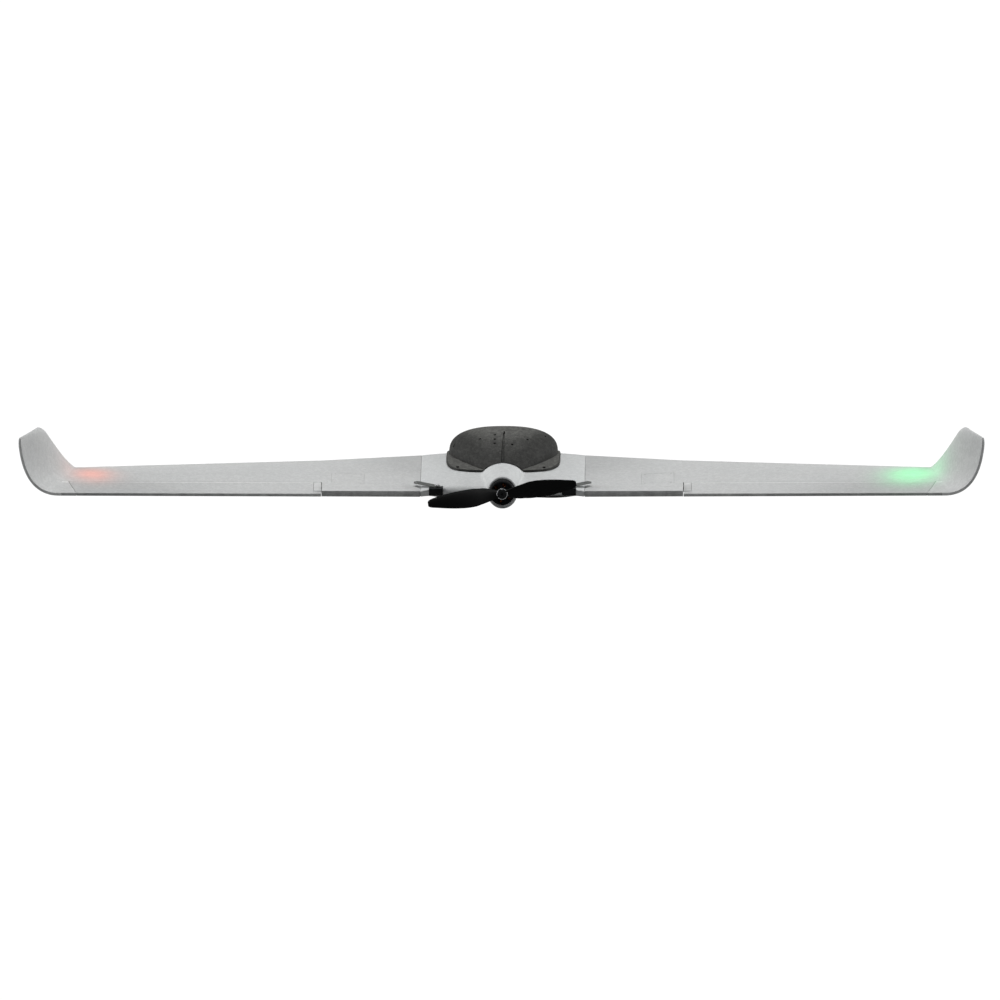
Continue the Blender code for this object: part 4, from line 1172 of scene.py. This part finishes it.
def build_prop_fixings():
    """Collet between bell and hub; behind the hub a bright washer, then a hexagon nut."""
    collet = [(37.6, 5.6), (37.9, 6.4), (40.7, 6.4), (41.0, 6.1), (41.0, 1.8), (37.6, 1.8)]
    show(motor_ring("prop_collet", collet), "prop_adapter")
    washer = [(48.66, 6.5), (48.75, 6.6), (48.86, 6.6), (48.94, 6.5), (48.94, 5.85), (48.66, 5.85)]
    washer = motor_ring("prop_washer", washer)
    washer.data.materials.append(MATERIALS["collet_aluminium"])
    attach(washer, "rotor")
    nut = motor_ring("lock_nut", [(49.0, 5.2), (52.4, 5.2), (52.4, 1.8), (49.0, 1.8)], 6)
    dome = [(48.0, 5.15), (51.4, 5.15), (52.2, 4.8), (53.0, 3.6), (53.0, 1.0), (48.0, 1.0)]
    carve(nut, kept=[motor_ring("nut_dome", dome, 60)])
    show(nut, "prop_nut")


# ---- wing latches ---------------------------------------------------------------------------
LATCH_PIVOT = (78.0, 3.4)
LATCH_TIP = (104.0, 32.0)
LEVER_Z = (9.5, 11.6)  # under and upper side


def build_latch_block(side):
    """Block at the body's trailing corner, tapped for the pivot screw."""
    x, y = side * LATCH_PIVOT[0], LATCH_PIVOT[1]
    block = side_box(f"latch_block_{side_name(side)}", side, (71, -2.6, 0.4), (87.4, 9.0, 9.2))
    round_edges(block, 0.9, 3)
    carve(block, [rod("thread", (x, y, 3), (x, y, 14), 1.7)])
    show(block, f"latch_housing_{side_name(side)}")


def build_latch_lever(side):
    """Bar that swings over the seam: round eye, straight bar and thumb ribs across its end."""
    x, y = side * LATCH_PIVOT[0], LATCH_PIVOT[1]
    start = Vector((x, y, 0))
    way = (Vector((side * LATCH_TIP[0], LATCH_TIP[1], 0)) - start).normalized()
    across = Vector((-way.y, way.x, 0))
    eye = [math.pi / 2 * i / 6 for i in range(1, 7)]
    edge = [(-4.0 * math.cos(t), 4.0 * math.sin(t)) for t in eye]
    edge += [(6.0, 3.6), (34.0, 4.0), (37.2, 3.7), (38.4, 2.6)]
    outline = [start + way * along + across * half for along, half in edge]
    outline += [start + way * along - across * half for along, half in reversed(edge)]
    rings = [[p + Vector((0, 0, z)) for p in outline] for z in LEVER_Z]
    lever = loft(f"latch_bar_{side_name(side)}", rings)
    round_edges(lever, 0.45, 3)
    grips = []
    for along in (28.0, 30.0, 32.0, 34.0, 36.0):
        middle = start + way * along + Vector((0, 0, LEVER_Z[1] + 0.25))
        grips.append(rod("grip", middle - across * 3.0, middle + across * 3.0, 0.5, 16))
    carve(lever, [rod("eye", (x, y, 8), (x, y, 14), 1.75), *grips])
    show(lever, f"latch_lever_{side_name(side)}")


def build_latch_screw(side):
    """Cross-head screw on which the lever turns."""
    x, y = side * LATCH_PIVOT[0], LATCH_PIVOT[1]
    screw = [(0, 1.2), (0.2, 1.4), (8.5, 1.4), (8.5, 2.6), (8.7, 2.8), (9.2, 2.7), (9.6, 2.2)]
    screw = turned(f"latch_pivot_screw_{side_name(side)}", (x, y, 3.4), (0, 0, 1), screw, 48)
    middle = Vector((x, y, 13.0))
    slots = []
    for turn in (25, 115):
        arm = Vector((math.cos(math.radians(turn)), math.sin(math.radians(turn)), 0)) * 1.7
        slots.append(rod("cross_slot", middle - arm, middle + arm, 0.35, 12))
    carve(screw, slots)
    show(screw, f"latch_screw_{side_name(side)}")


# ---- pod ------------------------------------------------------------------------------------
POD_REAR, POD_PEAK, POD_FRONT = 66.2, 150.0, 272.0  # along the body
POD_PEAK_Z = 55.5
POD_REAR_HEIGHT = 6.0
DOME_WIDEST = 165.0
DOME_REAR_WIDTH, DOME_WIDTH = 22.0, 65.0  # half widths
SKIRT_MIDDLE, SKIRT_END = 160.0, 274.0
SKIRT_WIDTH = 68.0
SKIRT_THICKNESS = 3.0
POD_WALL = 4.0
DOME_STEPS = 72
POD_EVEN, POD_EVEN_END = 84.2, 257.0  # stations are even between these and closer at both ends
POD_STATIONS = [POD_REAR + (POD_EVEN - POD_REAR) * (i / 14) ** 1.8 for i in range(14)]
POD_STATIONS += [POD_EVEN + (POD_EVEN_END - POD_EVEN) * i / 44 for i in range(44)]
POD_STATIONS += [POD_EVEN_END + 14.0 * math.sin(math.pi / 2 * i / 10) for i in range(11)]
# where the mould's ejector pins left holes: across and along
PIN_HOLES = (
    (-27.5, 117), (-10, 123), (-10, 112), (-10, 103), (11, 101), (29, 116), (50, 145),
    (-59, 140), (32, 152), (-27, 162), (12, 200), (-12, 200), (40, 190), (-44, 190),
)
PIN_HOLE_R = 1.6
RIM_MARKS = ((-54, 80), (49, 78))  # longer marks in the skirt
SLOT_REAR, SLOT_FRONT = (-0.9, 60.0, 2.3), (1.2, 134.0, 0.8)  # across, along, half width
SLOT_DEPTH = 3.3


def skirt_half_width(y):
    """Squarish behind its middle, tapering in front of it."""
    if y < SKIRT_MIDDLE:
        return SKIRT_WIDTH * (1 - ((SKIRT_MIDDLE - y) / (SKIRT_MIDDLE - POD_REAR + 0.3)) ** 5) ** 0.2
    return SKIRT_WIDTH * (1 - ((y - SKIRT_MIDDLE) / (SKIRT_END - SKIRT_MIDDLE)) ** 3) ** 0.4


def dome_half_width(y):
    if y < DOME_WIDEST:
        share = (y - POD_REAR) / (DOME_WIDEST - POD_REAR)
        return DOME_REAR_WIDTH + (DOME_WIDTH - DOME_REAR_WIDTH) * math.sin(math.pi / 2 * share)
    share = (y - DOME_WIDEST) / (POD_FRONT - DOME_WIDEST)
    return DOME_WIDTH * math.sqrt(1 - share**2.6)


def skirt_top(x, y):
    return body_skin(x, y) + SKIRT_THICKNESS


def dome_height(y):
    """Height of the dome's crest over the skirt."""
    rise = POD_PEAK_Z - skirt_top(0, y)
    if y < POD_PEAK:
        share = math.sin(math.pi / 2 * (y - POD_REAR) / (POD_PEAK - POD_REAR))
        return POD_REAR_HEIGHT + (rise - POD_REAR_HEIGHT) * share
    return rise * (1 - ((y - POD_PEAK) / (POD_FRONT - POD_PEAK)) ** 1.75)


def dome_arch(y, inset=0.0):
    """The dome's skin at y, from starboard over the crest to port."""
    half_width = dome_half_width(y) - inset
    foot = skirt_top(half_width, y)
    height = skirt_top(0, y) + dome_height(y) - foot - inset
    arch = []
    for i in range(DOME_STEPS + 1):
        turn = math.pi * i / DOME_STEPS
        x = squared(math.cos(turn), 0.8) * half_width
        arch.append(Vector((x, y, foot + height * math.sin(turn) ** 0.8)))
    return arch


def dome_skin(x, y):
    """Height of the pod's skin over a point of the dome or the skirt."""
    arch = dome_arch(y)
    for a, b in zip(arch, arch[1:]):
        if b.x <= x <= a.x:
            return a.z + (b.z - a.z) * (a.x - x) / max(a.x - b.x, 1e-6)
    return skirt_top(x, y)


def pod_ring(y):
    """Skirt edge, skirt, dome, skirt and skirt edge; its underside lies inside the body."""
    edge, foot = skirt_half_width(y), dome_half_width(y)
    rim = skirt_top(edge, y)
    skirt = [Vector((edge - inset, y, rim - drop)) for inset, drop in ((0, 6.0), (0, 1.2), (0.25, 0.5))]
    for i in range(6):
        x = (edge - 0.8) + (foot - edge + 0.8) * i / 6
        skirt.append(Vector((x, y, skirt_top(x, y))))
    return skirt + dome_arch(y) + [mirrored([p], -1)[0] for p in reversed(skirt)]


def hollow_ring(y):
    arch = dome_arch(y, POD_WALL)
    return arch + [Vector((arch[-1].x, y, -30.0)), Vector((arch[0].x, y, -30.0))]


def crest_slot():
    """Groove down the crest, wider at the tail."""
    rings = []
    for i in range(25):
        x, y, half_width = Vector(SLOT_REAR).lerp(Vector(SLOT_FRONT), i / 24)
        top = skirt_top(0, max(y, POD_REAR)) + dome_height(max(y, POD_REAR))
        floor = [Vector((x + way * half_width, y, top - SLOT_DEPTH)) for way in (-1, 1)]
        rings.append(floor + [p + Vector((0, 0, SLOT_DEPTH + 8)) for p in reversed(floor)])
    return loft("crest_slot", rings)


def build_pod():
    """Dark foam cover: dome over a thin skirt, with the crest groove and the ejector pins' holes."""
    pod = loft("pod_shell", [pod_ring(y) for y in POD_STATIONS])
    inner = [y for y in POD_STATIONS if POD_REAR + 12 < y < POD_FRONT - 10]
    hollow = loft("pod_hollow", [hollow_ring(y) for y in inner])
    lift = Vector((0, 0, 0.5))
    clearance = loft("body_clearance", [[p + lift for p in rib] for rib in body_ribs()])
    carve(pod, [hollow, build_nacelle(0.8), clearance])
    holes = [crest_slot()]
    for x, y in PIN_HOLES:
        top = dome_skin(x, y)
        holes.append(rod("pin_hole", (x, y, top - 2.4), (x, y, top + 4), PIN_HOLE_R, 20))
    for x, y in RIM_MARKS:
        top = skirt_top(x, y)
        holes.append(rod("rim_mark", (x, y - 4, top), (x, y + 4, top), 1.8, 20))
    carve(pod, holes)
    show(pod, "pod_cover", angle=45)


# ---- everything else ------------------------------------------------------------------------
LOOKS = {"motor_shaft": "black_metal"}


def paint_frame():
    """Every CAD node that stays in view gets the finish of its material slot."""
    for name, part in frame["nodes"].items():
        for material_slot in part.material_slots:
            material_slot.material = MATERIALS[LOOKS.get(name) or SLOTS[name]]


MATERIALS = make_materials()
build_camera()
build_floor()
build_lights()
paint_frame()
build_body()
build_pod()
build_bell()
build_stator()
build_propeller()
build_prop_fixings()
for each_side in SIDES:
    build_wing(each_side)
    build_elevon(each_side)
    build_servo_cover(each_side)
    build_latch_block(each_side)
    build_latch_lever(each_side)
    build_latch_screw(each_side)
